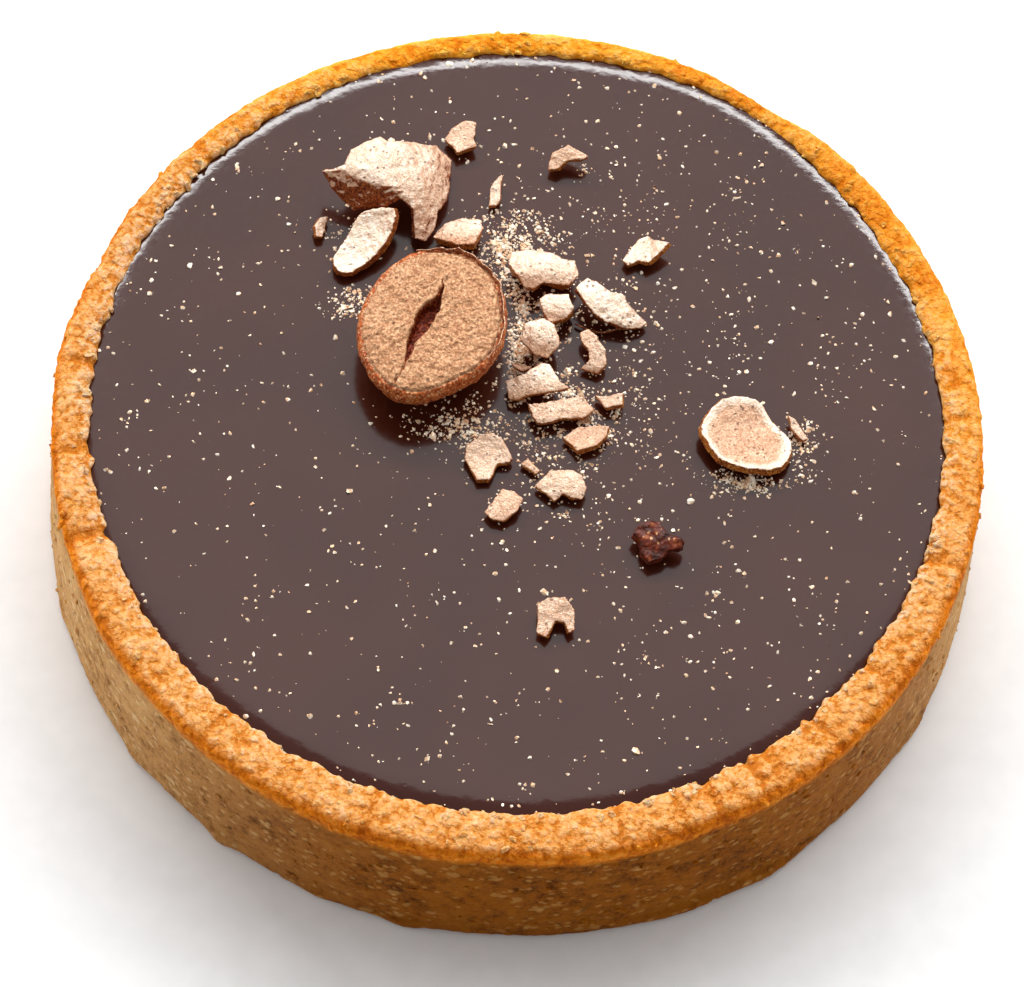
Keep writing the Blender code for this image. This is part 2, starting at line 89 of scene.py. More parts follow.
# The wall leans in and out a little, and its foot sticks out where dough crept under the ring.
OUTER_SWELLS = (
    (63, 5, -0.45), (161, 5, -0.2), (273, 6, -0.3), (300, 5, -0.2), (175, 6, 0.25), (215, 7, 0.25),
)
FOOT_SWELLS = (
    (237, 1.6, 0.45), (262, 2.2, 0.35), (251, 2.0, 0.25), (297, 6.0, 0.4), (308, 5.0, 0.5), (222, 2.5, 0.3),
    (335, 3.0, 0.25), (200, 3.0, 0.25), (120, 4.0, 0.3), (60, 4.0, 0.3), (20, 3.0, 0.25),
)
# Where the painted glow on the rim turns a deeper orange, at the back right, and where the painted shade on
# the wall reaches on past its front.
DEEP_GLOW = ((42, 26, 1.0),)
EXTRA_FRONT_SHADE = ((332, 16, 0.3),)
# The filling's level, where its hidden side ends, and how it dips along its front edge.
FILL_TOP = 15.5
FILL_SIDE_TOP = 14.9
FRONT_DIP = 0.15
FRONT_DIP_WIDTH = 2.4

CASE_SEGMENTS = 1000
FILL_SEGMENTS = 640
SWEEP_RADIUS = 30.0
# The middle of a noise texture's colour.
CENTRE_COLOUR = (0.5, 0.5, 0.5)


def linear(code):
    """An sRGB hex colour as linear RGBA."""
    channels = [int(code[i:i + 2], 16) / 255 for i in (1, 3, 5)]
    return (*[c / 12.92 if c <= 0.04045 else ((c + 0.055) / 1.055) ** 2.4 for c in channels], 1.0)


def per_mm(size):
    """The texture scale at which one feature is about this many millimetres across."""
    return 1 / (size * MM)


def add_node(tree, kind, inputs=None, stops=(), **settings):
    """Adds one node with its settings and links.

    An input is a value, or a node or socket to link from. The stops of a colour ramp are (position, colour)
    in rising order, each colour a hex code or linear."""
    node = tree.nodes.new(kind)
    for name, value in settings.items():
        setattr(node, name, value)
    for key, value in (inputs or {}).items():
        if isinstance(value, bpy.types.Node):
            value = value.outputs[0]
        if isinstance(value, bpy.types.NodeSocket):
            tree.links.new(value, node.inputs[key])
        else:
            node.inputs[key].default_value = value
    for index, (position, colour) in enumerate(stops):
        elements = node.color_ramp.elements
        element = elements[index] if index < len(elements) else elements.new(1.0)
        element.position = position
        element.color = linear(colour) if isinstance(colour, str) else colour
    return node


def mixed(tree, *terms):
    """The sum of (value, middle, weight) terms, each value taken about its middle. A weight may be a node."""
    total = 0.0
    for value, middle, weight in terms:
        away = add_node(tree, "ShaderNodeMath", {0: value, 1: middle}, operation="SUBTRACT")
        total = add_node(tree, "ShaderNodeMath", {0: away, 1: weight, 2: total}, operation="MULTIPLY_ADD")
    return total


def wandering(tree, place, scale, detail, rough, reach):
    """A vector that wanders with the place, by up to half of reach either way."""
    field = add_node(tree, "ShaderNodeTexNoise", {
        "Vector": place, "Scale": scale, "Detail": detail, "Roughness": rough})
    centred = add_node(tree, "ShaderNodeVectorMath", {0: field.outputs["Color"], 1: CENTRE_COLOUR},
                       operation="SUBTRACT")
    return add_node(tree, "ShaderNodeVectorMath", {0: centred, "Scale": reach}, operation="SCALE")


def new_material(name):
    """An empty material, its tree and its Object coordinates."""
    material = bpy.data.materials.new(name)
    material.use_nodes = True
    tree = material.node_tree
    tree.nodes.clear()
    return material, tree, add_node(tree, "ShaderNodeTexCoord").outputs["Object"]


def end_material(tree, inputs):
    """Ends a material as every one here ends: one Principled shader with these inputs."""
    shader = add_node(tree, "ShaderNodeBsdfPrincipled", inputs)
    add_node(tree, "ShaderNodeOutputMaterial", {"Surface": shader})


def new_object(name, mesh):
    obj = bpy.data.objects.new(name, mesh)
    bpy.context.scene.collection.objects.link(obj)
    return obj


def plain_mesh(obj):
    """Turns the object with its modifiers into a plain mesh."""
    graph = bpy.context.evaluated_depsgraph_get()
    mesh = bpy.data.meshes.new_from_object(obj.evaluated_get(graph))
    obj.modifiers.clear()
    old = obj.data
    obj.data = mesh
    if old.users == 0:
        bpy.data.meshes.remove(old)
    mesh.name = obj.name
    return mesh


def points_of(mesh):
    points = np.empty(len(mesh.vertices) * 3, np.float32)
    mesh.vertices.foreach_get("co", points)
    return points.reshape(-1, 3).astype(float)


def set_points(mesh, points):
    mesh.vertices.foreach_set("co", points.astype(np.float32).ravel())
    mesh.update()


def add_attribute(mesh, name, values):
    attribute = mesh.attributes.new(name, "FLOAT", "POINT")
    attribute.data.foreach_set("value", values.astype(np.float32))


def geometry_tree(name, sockets):
    """A geometry node group with a Geometry input and output and the inputs {name: (kind, default)}."""
    tree = bpy.data.node_groups.new(name, "GeometryNodeTree")
    tree.interface.new_socket("Geometry", in_out="INPUT", socket_type="NodeSocketGeometry")
    tree.interface.new_socket("Geometry", in_out="OUTPUT", socket_type="NodeSocketGeometry")
    for label, (kind, default) in sockets.items():
        socket = tree.interface.new_socket(label, in_out="INPUT", socket_type="NodeSocket" + kind)
        socket.default_value = default
    return tree, tree.nodes.new("NodeGroupInput").outputs


def run_tree(obj, tree, values):
    """Runs a geometry node group on the object with its inputs set, and keeps the result as a plain mesh."""
    modifier = obj.modifiers.new(tree.name, "NODES")
    modifier.node_group = tree
    for item in tree.interface.items_tree:
        if item.in_out == "INPUT" and item.name in values:
            modifier[item.identifier] = values[item.name]
    return plain_mesh(obj)


def end_tree(tree, geometry, material, smooth=True):
    """Ends a group as every one here ends: real geometry, shaded, with its material."""
    real = add_node(tree, "GeometryNodeRealizeInstances", {"Geometry": geometry})
    smooth = add_node(tree, "GeometryNodeSetShadeSmooth", {"Geometry": real, "Shade Smooth": smooth})
    painted = add_node(tree, "GeometryNodeSetMaterial", {"Geometry": smooth, "Material": material})
    add_node(tree, "NodeGroupOutput", {"Geometry": painted})


def keep_piece(obj, slot, *nodes):
    """Hands a finished piece to the frame."""
    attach(obj, BODY)
    if nodes:
        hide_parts(*nodes)


# ---------------------------------------------------------------- materials

# Sizes given to a texture here are in millimetres, and weights and covers are shares.


def painted(tree, body, *coats):
    """A colour with (cover, colour) coats painted over it, one after another."""
    for cover, colour in coats:
        body = add_node(tree, "ShaderNodeMix", {0: cover, 6: body, 7: colour}, data_type="RGBA").outputs[2]
    return body


def crumbled(tree, place, size, ragged):
    """Cells about size millimetres wide with ragged borders."""
    shift = wandering(tree, place, per_mm(size * 0.8), 2.0, 0.55, size * ragged * MM)
    moved = add_node(tree, "ShaderNodeVectorMath", {0: place, 1: shift}, operation="ADD")
    return add_node(tree, "ShaderNodeTexVoronoi", {"Vector": moved, "Scale": per_mm(size)})


def spots(tree, place, spacing, radius, share):
    """Ragged spots of this radius, as a share of their spacing, in about this share of the cells."""
    cells = crumbled(tree, place, spacing, 0.5)
    near = add_node(tree, "ShaderNodeMapRange", {
        "Value": cells, "From Min": radius * 0.6, "From Max": radius, "To Min": 1.0, "To Max": 0.0})
    chosen = add_node(tree, "ShaderNodeMath", {0: cells.outputs["Color"], 1: share}, operation="LESS_THAN")
    return mixed(tree, (near, 0.0, chosen))


def baked_shortcrust(look):
    """Shortcrust baked in a ring: short butter crumb, so it is matt, grainy and slightly translucent.

    The cut rim is peach on its crumbs, with shade painted as orange between them, and a glow of back light is
    painted in a deep yellow-orange where it is thin at the back. The wall, pressed on hot metal, is brown
    with pale flecks, with pores and pits darkened as painted shade, and it is painted darker at the front as
    shade."""
    material, tree, place = new_material("baked_shortcrust")
    flat = add_node(tree, "ShaderNodeMapping", {"Vector": place, "Scale": (1.0, 1.0, 1.3)})
    grain, patches, streaks = (
        add_node(tree, "ShaderNodeTexNoise", {
            "Vector": where, "Scale": per_mm(size), "Detail": detail, "Roughness": rough})
        for where, size, detail, rough in (
            (place, 0.30, 3.0, 0.6), (place, 6.0, 2.0, 0.55), (flat, 1.2, 3.0, 0.6)))
    gaps = add_node(tree, "ShaderNodeMapRange", {
        "Value": crumbled(tree, place, 0.62, 0.9), "From Min": 0.38, "From Max": 0.75})
    relief, rim, front_shade, edge, amber_glow, lip = (
        add_node(tree, "ShaderNodeAttribute", attribute_name=name).outputs["Fac"]
        for name in ("relief", "rim", "front_shade", "edge", "amber_glow", "lip"))

    # The tone falls with the relief and between the cells, so shade is painted into the hollows between
    # crumbs and into the pits of the wall.
    tone = mixed(tree, (relief, -0.42, 0.44), (gaps, 0.0, -0.22), (grain, 0.5, 1.0), (patches, 0.5, 0.12))
    smooth_tone = mixed(tree, (relief, -0.5, 0.40), (grain, 0.5, 0.35), (patches, 0.5, 0.6))
    calm_tone = mixed(tree, (relief, -1.8, 0.13), (streaks, 0.5, 0.5), (grain, 0.5, 0.4),
                      (patches, 0.5, 0.35))
    rim_colour, edge_glow_colour, amber_glow_colour, side_colour, shaded_front_colour, fleck_colour = (
        add_node(tree, "ShaderNodeValToRGB", {"Fac": factor}, stops)
        for factor, stops in (
            (tone, ((0.08, look.hollow_colour), (0.28, "#E2994C"), (0.50, look.rim_colour),
                    (0.84, "#F4CC9E"))),
            (tone, ((0.05, "#B05406"), (0.40, "#DA780F"), (0.85, "#EB9C3A"))),
            (smooth_tone, ((0.12, "#C66204"), (0.30, "#EC8C14"), (0.46, look.amber_glow_colour),
                           (0.72, "#FCC064"))),
            (calm_tone, ((0.10, "#85562B"), (0.32, look.wall_colour), (0.50, "#CDA06A"))),
            (calm_tone, ((0.10, "#4C2404"), (0.32, look.shaded_front_colour), (0.50, "#985A12"))),
            (front_shade, ((0.0, "#E4C594"), (1.0, "#B98848")))))

    flecks = mixed(tree, (spots(tree, flat, 1.0, 0.36, 0.55), 0.0, 1.0),
                   (spots(tree, flat, 2.1, 0.32, 0.4), 0.0, 1.0))
    # The pores are painted dark, as shade in them.
    pores = spots(tree, flat, 2.2, 0.15, 0.4)
    raised = add_node(tree, "ShaderNodeMapRange", {
        "Value": tone, "From Min": 0.25, "From Max": 0.6, "To Max": 0.7})
    # The wall's front coat is painted shade, and its flecks are painted darker there too.
    body = painted(
        tree, side_colour, (front_shade, shaded_front_colour), (mixed(tree, (flecks, 0.0, 0.5)), fleck_colour),
        (mixed(tree, (pores, 0.0, 0.6)), linear("#3F1F08")), (rim, rim_colour), (edge, edge_glow_colour),
        (amber_glow, amber_glow_colour), (mixed(tree, (raised, 0.0, lip)), linear("#F0C9A6")))
    rim_gaps = mixed(tree, (gaps, 0.0, rim))
    height = mixed(tree, (grain, 0.5, 0.8), (rim_gaps, 0.0, -0.5), (flecks, 0.0, 0.25), (pores, 0.0, -0.6))
    bump = add_node(tree, "ShaderNodeBump", {"Height": height, "Strength": 0.8, "Distance": 0.3 * MM})
    end_material(tree, {
        "Base Color": body, "Roughness": 0.6, "IOR": 1.45, "Specular IOR Level": 0.04,
        "Subsurface Weight": 0.35, "Subsurface Radius": (1.0, 0.4, 0.12), "Subsurface Scale": 0.8 * MM,
        "Normal": bump})
    return material


def set_ganache(look):
    """Dark chocolate ganache, poured warm and set: a smooth satin gloss over a very dark brown."""
    material, tree, place = new_material("set_ganache")
    stretch = add_node(tree, "ShaderNodeMapping", {"Vector": place, "Scale": (0.35, 1.0, 1.0)})
    cloud, fine, ripple, pucker = (
        add_node(tree, "ShaderNodeTexNoise", {
            "Vector": where, "Scale": per_mm(size), "Detail": detail, "Roughness": 0.55})
        for where, size, detail in (
            (place, 14.0, 2.0), (place, 0.5, 2.0), (stretch, 0.9, 2.0), (place, 0.7, 3.0)))
    colour = add_node(tree, "ShaderNodeValToRGB", {"Fac": cloud}, ((0.3, look.colour), (0.7, "#3E180D")))
    sheen = add_node(tree, "ShaderNodeMapRange", {
        "Value": fine, "From Min": 0.3, "From Max": 0.7, "To Min": look.roughness - 0.03,
        "To Max": look.roughness + 0.03})
    pit_cells = add_node(tree, "ShaderNodeTexVoronoi", {"Vector": place, "Scale": per_mm(2.3)})
    pits = add_node(tree, "ShaderNodeMapRange", {
        "Value": pit_cells, "From Min": 0.02, "From Max": 0.07, "To Min": -1.0, "To Max": 0.0},
        interpolation_type="SMOOTHSTEP")
    shoulder = add_node(tree, "ShaderNodeAttribute", attribute_name="shoulder").outputs["Fac"]
    puckered = mixed(tree, (pucker, 0.0, shoulder))
    height = mixed(tree, (ripple, 0.5, 0.16), (pits, 0.0, 0.25), (puckered, 0.0, 0.7))
    bump = add_node(tree, "ShaderNodeBump", {"Height": height, "Strength": 0.5, "Distance": 0.06 * MM})
    end_material(tree, {"Base Color": colour, "Roughness": sheen, "IOR": 1.5, "Normal": bump})
    return material


def copper_dusted(name, bare, copper, cream, roughness, grain_size=0.18):
    """A brittle brown piece brushed with mica copper lustre dust, more or less thickly ('pale').

    The dust lies on what faces up, as fine grain with a soft metallic sheen and dark pinholes. Steep sides
    and broken edges stay bare, with single specks on them. Each finish has three tones, dark to light."""
    material, tree, place = new_material(name)
    grain, patches = (
        add_node(tree, "ShaderNodeTexNoise", {
            "Vector": place, "Scale": per_mm(size), "Detail": detail, "Roughness": rough})
        for size, detail, rough in ((grain_size, 2.0, 0.6), (1.4, 3.0, 0.55)))
    dusted, hollow, pale = (
        add_node(tree, "ShaderNodeAttribute", attribute_name=each).outputs["Fac"]
        for each in ("dusted", "hollow", "pale"))
    tone = mixed(tree, (grain, 0.0, 0.7), (patches, 0.0, 0.3))
    thin, thick, uncovered = (
        add_node(tree, "ShaderNodeValToRGB", {"Fac": tone}, zip(places, colours))
        for places, colours in (
            ((0.38, 0.49, 0.60), copper), ((0.38, 0.49, 0.60), cream), ((0.38, 0.50, 0.64), bare)))
    # This deep coat is painted shade in the hazelnut's split. On bare undersides it is partly their own deep
    # brown and partly painted shade.
    deep = add_node(tree, "ShaderNodeValToRGB", {"Fac": grain}, ((0.4, "#4A1204"), (0.6, "#9A3A12")))
    cover = add_node(tree, "ShaderNodeMapRange", {
        "Value": mixed(tree, (dusted, 0.0, 1.0), (grain, 0.5, 1.6)), "From Min": 0.42, "From Max": 0.58},
        interpolation_type="SMOOTHSTEP")
    pinned = add_node(tree, "ShaderNodeMapRange", {"Value": patches, "From Min": 0.42, "From Max": 0.54})
    pin = mixed(tree, (spots(tree, place, 0.5, 0.30, 0.65), 0.0, pinned))
    body = painted(tree, uncovered, (cover, painted(tree, thin, (pale, thick))),
                   (mixed(tree, (pin, 0.0, 0.7)), linear("#6B4630")), (hollow, deep))
    glint = add_node(tree, "ShaderNodeMapRange", {
        "Value": grain, "From Min": 0.35, "From Max": 0.65, "To Min": roughness + 0.12,
        "To Max": roughness - 0.14})
    bump = add_node(tree, "ShaderNodeBump", {
        "Height": mixed(tree, (grain, 0.0, 1.0), (pin, 0.0, -0.5)), "Strength": 0.8, "Distance": 0.12 * MM})
    end_material(tree, {
        "Base Color": body, "Metallic": 0.25, "Specular IOR Level": 0.35, "Roughness": glint, "Normal": bump})
    return material


def dark_chocolate():
    """A snapped bit of dark chocolate, red-brown where it broke, with single grains of dust on it."""
    material, tree, place = new_material("dark_chocolate")
    patches = add_node(tree, "ShaderNodeTexNoise", {
        "Vector": place, "Scale": per_mm(0.8), "Detail": 3.0, "Roughness": 0.55})
    colour = add_node(tree, "ShaderNodeValToRGB", {"Fac": patches}, (
        (0.35, "#2E0D05"), (0.58, "#64230E"), (0.72, "#A2562C")))
    body = painted(tree, colour, (spots(tree, place, 0.42, 0.34, 0.22), linear("#DCA678")))
    bump = add_node(tree, "ShaderNodeBump", {"Height": patches, "Strength": 0.8, "Distance": 0.2 * MM})
    end_material(tree, {
        "Base Color": body, "Roughness": 0.4, "IOR": 1.5, "Specular IOR Level": 0.25, "Normal": bump})
    return material


def copper_dust(look):
    """Loose mica lustre dust and crumbs of it: pale copper with a metallic glint, no two specks alike."""
    material, tree, place = new_material("copper_dust")
    tone = add_node(tree, "ShaderNodeTexNoise", {
        "Vector": place, "Scale": per_mm(0.5), "Detail": 1.0, "Roughness": 0.55})
    colour = add_node(tree, "ShaderNodeValToRGB", {"Fac": tone}, (
        (0.3, "#D8A47A"), (0.46, look.colour), (0.62, "#FFF3E0")))
    end_material(tree, {"Base Color": colour, "Metallic": 0.3, "Roughness": 0.42})
    return material


def pale_paper(look):
    """The stage floor: plain matt white paper."""
    material, tree, place = new_material("pale_paper")
    fibre = add_node(tree, "ShaderNodeTexNoise", {
        "Vector": place, "Scale": per_mm(3.0), "Detail": 2.0, "Roughness": 0.55})
    colour = add_node(tree, "ShaderNodeValToRGB", {"Fac": fibre}, (
        (0.3, look.floor_colour), (0.7, "#F8F8F8")))
    end_material(tree, {"Base Color": colour, "Roughness": 0.9})
    return material


# ---------------------------------------------------------------- shapes

def swell(angle, centre, spread):
    """1 at the centre angle, fading to 0 either side of it."""
    away = (angle - centre + math.pi) % TAU - math.pi
    return np.exp(-((away / spread) ** 2))


def bumps_round(angle, places):
    """The sum of bumps given as (angle, half width, height), in degrees and millimetres."""
    return sum(height * swell(angle, math.radians(at), math.radians(wide)) for at, wide, height in places)


def inner_radius(angle):
    shift = HOLLOW_SHIFT * np.cos(angle - HOLLOW_SHIFT_ANGLE)
    return INNER_RADIUS + shift + THIN_SPOT * swell(angle, THIN_SPOT_ANGLE, THIN_SPOT_SPREAD)


def arc(centre_r, centre_z, radius, start, end, steps):
    """Points along an arc of the profile, from one angle in degrees to another."""
    turns = np.radians(np.linspace(start, end, steps + 1))
    return [(centre_r + radius * math.cos(t), centre_z + radius * math.sin(t)) for t in turns]


def line(start, end, steps):
    """Points after the start, up to and with the end."""
    return [tuple(point) for point in np.linspace(start, end, steps + 1)[1:]]


def lathe_tree(material):
    """Turns a profile about the Z axis. It lies in the XY plane, as (radius - sweep radius, -height)."""
    tree, given = geometry_tree("Turn a profile", {
        "Sweep Radius": ("Float", 0.03), "Segments": ("Int", 64), "Join Distance": ("Float", 1e-6)})
    circle = add_node(tree, "GeometryNodeCurvePrimitiveCircle", {
        "Resolution": given["Segments"], "Radius": given["Sweep Radius"]})
    curve = add_node(tree, "GeometryNodeMeshToCurve", {"Mesh": given["Geometry"]})
    swept = add_node(tree, "GeometryNodeCurveToMesh", {"Curve": circle, "Profile Curve": curve})
    merged = add_node(tree, "GeometryNodeMergeByDistance", {
        "Geometry": swept, "Distance": given["Join Distance"]})
    end_tree(tree, merged, material)
    return tree


def turned(name, profile, segments, material):
    """A closed shape turned from (radius, height) points in millimetres."""
    mesh = bpy.data.meshes.new(name)
    places = [((r - SWEEP_RADIUS) * MM, -z * MM, 0.0) for r, z in profile]
    mesh.from_pydata(places, [(i, i + 1) for i in range(len(places) - 1)], [])
    obj = new_object(name, mesh)
    run_tree(obj, lathe_tree(material), {"Sweep Radius": SWEEP_RADIUS * MM, "Segments": segments})
    return obj


def polar(points):
    """Radius, angle and height of points, in millimetres."""
    x, y, z = points.T
    return np.hypot(x, y) / MM, np.arctan2(y, x), z / MM


def from_polar(radius, angle, height):
    return np.stack((radius * np.cos(angle), radius * np.sin(angle), height), axis=1) * MM


def smooth_step(value, low, high):
    t = np.clip((value - low) / (high - low), 0, 1)
    return t * t * (3 - 2 * t)


def case_profile():
    """The case's section from the middle of its floor up over the rim and down to the middle of its base."""
    foot = INNER_RADIUS - INNER_TAPER
    inner_top = CASE_HEIGHT - RIM_INNER_ROUND
    outer_top = CASE_HEIGHT - RIM_OUTER_ROUND
    profile = [(0.0, FLOOR_THICKNESS)]
    profile += line(profile[-1], (foot - 1.0, FLOOR_THICKNESS), 3)
    profile += line(profile[-1], (foot, FLOOR_THICKNESS + 1.0), 1)
    profile += line(profile[-1], (INNER_RADIUS - 0.1, 13.4), 4)
    profile += line(profile[-1], (INNER_RADIUS, inner_top), 8)
    profile += arc(INNER_RADIUS + RIM_INNER_ROUND, inner_top, RIM_INNER_ROUND, 180, 90, 4)[1:]
    profile += line(profile[-1], (CASE_RADIUS - RIM_OUTER_ROUND, CASE_HEIGHT), 15)
    profile += arc(CASE_RADIUS - RIM_OUTER_ROUND, outer_top, RIM_OUTER_ROUND, 90, 0, 7)[1:]
    profile += line(profile[-1], (CASE_RADIUS + 0.1, 0.6 * CASE_HEIGHT), 15)
    profile += line(profile[-1], (BASE_RADIUS, 0.3 * CASE_HEIGHT), 11)
    profile += line(profile[-1], (BASE_RADIUS, BASE_ROUND), 12)
    profile += arc(BASE_RADIUS - BASE_ROUND, BASE_ROUND, BASE_ROUND, 0, -90, 4)[1:]
    profile += line(profile[-1], (0.0, 0.0), 4)
    return profile


def relief_tree(material):
    """Sandy relief along the normals: lumps of dough, crumbs, cracks across the rim and pits in the wall.

    It keeps how high each point stands as 'relief': 0 in the hollows, 1 on the crumbs, lower in the pits. The
    pastry's colour reads it to paint shade into the hollows and pits."""
    tree, given = geometry_tree("Sandy relief", {
        "Lump Size": ("Float", 2.2), "Lump Height": ("Float", 0.45), "Grain Size": ("Float", 0.8),
        "Grain Height": ("Float", 0.5), "Grit Size": ("Float", 0.5), "Grit Height": ("Float", 0.4),
        "Pit Size": ("Float", 1.5), "Pit Depth": ("Float", 0.35)})
    place = add_node(tree, "GeometryNodeInputPosition")
    rim, seen, cracks, amber_glow = (
        add_node(tree, "GeometryNodeInputNamedAttribute", {"Name": name}, data_type="FLOAT")
        for name in ("rim", "seen", "cracks", "amber_glow"))
    flat = add_node(tree, "ShaderNodeVectorMath", {0: place, 1: (1.0, 1.0, 2.2)}, operation="MULTIPLY")
    lump_scale, grain_scale, grit_scale, pit_scale = (
        add_node(tree, "ShaderNodeMath", {0: 1 / MM, 1: given[size]}, operation="DIVIDE")
        for size in ("Lump Size", "Grain Size", "Grit Size", "Pit Size"))
    lumps = add_node(tree, "ShaderNodeTexNoise", {"Vector": place, "Scale": lump_scale})
    grains = add_node(tree, "ShaderNodeTexVoronoi", {"Vector": place, "Scale": grain_scale},
                      feature="SMOOTH_F1")
    grit = add_node(tree, "ShaderNodeTexNoise", {"Vector": place, "Scale": grit_scale})
    pits = add_node(tree, "ShaderNodeTexNoise", {
        "Vector": flat, "Scale": pit_scale, "Detail": 3.0, "Roughness": 0.6})

    lower_grains = mixed(tree, (grains, 0.42, given["Grain Height"]))
    height = mixed(tree, (lumps, 0.5, given["Lump Height"]), (lower_grains, 0.0, -1.0),
                   (grit, 0.5, given["Grit Height"]), (cracks, 0.0, -CRACK_DEPTH))
    relief = add_node(tree, "ShaderNodeMapRange", {"Value": height, "From Min": -0.20, "From Max": 0.14})
    pit = add_node(tree, "ShaderNodeMapRange", {"Value": pits, "From Min": 0.62, "From Max": 0.72},
                   interpolation_type="SMOOTHSTEP")
    on_wall = add_node(tree, "ShaderNodeMapRange", {
        "Value": rim, "From Max": 0.6, "To Min": 1.0, "To Max": 0.0})
    pit_depth = mixed(tree, (mixed(tree, (pit, 0.0, given["Pit Depth"])), 0.0, on_wall))
    pitted = mixed(tree, (relief, 0.0, 1.0), (pit_depth, 0.0, -2.0))
    kept = add_node(tree, "GeometryNodeStoreNamedAttribute", {
        "Geometry": given["Geometry"], "Name": "relief", "Value": pitted}, data_type="FLOAT")
    # The rim under the painted glow at the back is also given a smoother relief.
    by_rim = add_node(tree, "ShaderNodeMapRange", {"Value": rim, "To Min": 0.35, "To Max": 0.85})
    by_amber = add_node(tree, "ShaderNodeMapRange", {"Value": amber_glow, "To Min": 1.0, "To Max": 0.5})
    height = mixed(tree, (mixed(tree, (height, 0.0, by_rim)), 0.0, by_amber), (pit_depth, 0.0, -1.0))
    height = mixed(tree, (mixed(tree, (height, 0.0, seen)), 0.0, MM))
    normal = add_node(tree, "GeometryNodeInputNormal")
    offset = add_node(tree, "ShaderNodeVectorMath", {0: normal, "Scale": height}, operation="SCALE")
    moved = add_node(tree, "GeometryNodeSetPosition", {"Geometry": kept, "Offset": offset})
    end_tree(tree, moved, material)
    return tree


def paint_pastry(mesh, radius, angle, height):
    """Where the pastry is rim, outer edge, inner lip, thin back rim or front wall, as attributes for its
    material.
    The outer edge and the back rim carry a painted glow, and the front wall carries painted shade.
    """
    top, edge_top, amber_top = (
        smooth_step(height, CASE_HEIGHT - low, CASE_HEIGHT - high)
        for low, high in ((1.7, 0.6), (2.3, 1.2), (2.6, 1.0)))
    outward = smooth_step(radius, CASE_RADIUS - 0.75, CASE_RADIUS - 0.15)
    # The back mask is where the glow of the back light through the thin rim is painted in a yellow-orange.
    back = smooth_step(np.sin(angle + math.radians(17)), 0.1, 0.85)
    # Shade is painted on the front of the wall, which the back light leaves dark. It reaches a little further
    # at the front right.
    front = smooth_step(-np.sin(angle - math.radians(12)), 0.42, 0.98)
    front = np.minimum(front + bumps_round(angle, EXTRA_FRONT_SHADE), 1)
    # A deeper orange is painted into that glow at the back right.
    deep = bumps_round(angle, DEEP_GLOW)
    add_attribute(mesh, "rim", top)
    # The outer edge band is a painted glow of light through the rounded edge.
    add_attribute(mesh, "edge", np.maximum(outward * edge_top, 0.75 * deep * top))
    add_attribute(mesh, "lip", top * smooth_step(inner_radius(angle) + 1.9 - radius, 0.0, 1.5) * (1 - back))
    add_attribute(mesh, "amber_glow", back * amber_top * (0.92 - 0.45 * deep))
    add_attribute(mesh, "front_shade", front * 0.97 + 0.03)


def case_places(radius, angle, height):
    """Where the points of the turned case go: its uneven rim, leaning wall and swollen foot."""
    inner = inner_radius(angle) + bumps_round(angle, EDGE_BITES)
    inner = inner + sum(reach * np.sin(count * angle + count + 3 * np.sin(count // 8 * angle))
                        for count, reach in EDGE_SCALLOPS)
    stretched = inner + (radius - INNER_RADIUS) * (CASE_RADIUS - inner) / (CASE_RADIUS - INNER_RADIUS)
    moved = np.where(radius > INNER_RADIUS, stretched, radius * inner / INNER_RADIUS)
    high = smooth_step(height, 9.0, CASE_HEIGHT)
    dips = bumps_round(angle, RIM_NOTCHES)
    waves = sum(np.sin(count * angle + count) for count in RIM_WAVES) * RIM_WAVE
    back = RIM_LOWER_AT_BACK * smooth_step(np.sin(angle), 0.2, 0.9)
    crown = RIM_CROWN * smooth_step(np.abs(radius - RIM_MIDDLE), 0.4, 1.9)
    lowered = (dips + waves + back) * high**2 + crown * smooth_step(height, CASE_HEIGHT - 0.7, CASE_HEIGHT)
    outside = smooth_step(radius, CASE_RADIUS - 1.6, CASE_RADIUS)
    foot = smooth_step(-height, -1.9, -1.1) * outside
    moved = moved + bumps_round(angle, OUTER_SWELLS) * outside * (0.35 + 0.65 * high)
    return from_polar(moved + bumps_round(angle, FOOT_SWELLS) * foot, angle, height - lowered)


def make_crust(look):
    material = baked_shortcrust(look)
    case = turned("crust_baked", case_profile(), CASE_SEGMENTS, material)
    mesh = case.data
    radius, angle, height = polar(points_of(mesh))
    set_points(mesh, case_places(radius, angle, height))
    paint_pastry(mesh, radius, angle, height)
    inner_half = 0.35 + 0.65 * smooth_step(CASE_RADIUS - radius, 0.5, 2.0)
    cracks = bumps_round(angle, RIM_CRACKS) * inner_half * smooth_step(height, 14.6, 15.6)
    add_attribute(mesh, "cracks", cracks)
    hidden = (radius < INNER_RADIUS + 0.01) & (height < 13.0)
    add_attribute(mesh, "seen", np.where(hidden, 0.0, smooth_step(height, 0.1, 0.6)))
    run_tree(case, relief_tree(material), {
        "Grain Size": look.crumb_size / MM, "Grain Height": look.crumb_height / MM,
        "Pit Depth": look.pit_depth / MM})
    keep_piece(case, "baked_shortcrust", "crust")


def fill_profile(shoulder_width, shoulder_drop):
    """The filling's section: level, bending down at its shoulder, and hidden in the case below that."""
    edge = INNER_RADIUS + 0.45
    profile = [(0.0, FILL_TOP)]
    flat = edge - shoulder_width - 0.45
    profile += line(profile[-1], (flat, FILL_TOP), 66)
    for step in range(1, 23):
        out = step / 20
        profile.append((flat + shoulder_width * out, FILL_TOP - shoulder_drop * out**3))
    profile += line(profile[-1], (edge, 13.6), 3)
    profile += line(profile[-1], (INNER_RADIUS - INNER_TAPER - 0.4, 4.4), 3)
    profile += line(profile[-1], (INNER_RADIUS - INNER_TAPER - 1.4, 3.5), 1)
    profile += line(profile[-1], (0.0, 3.5), 3)
    return profile


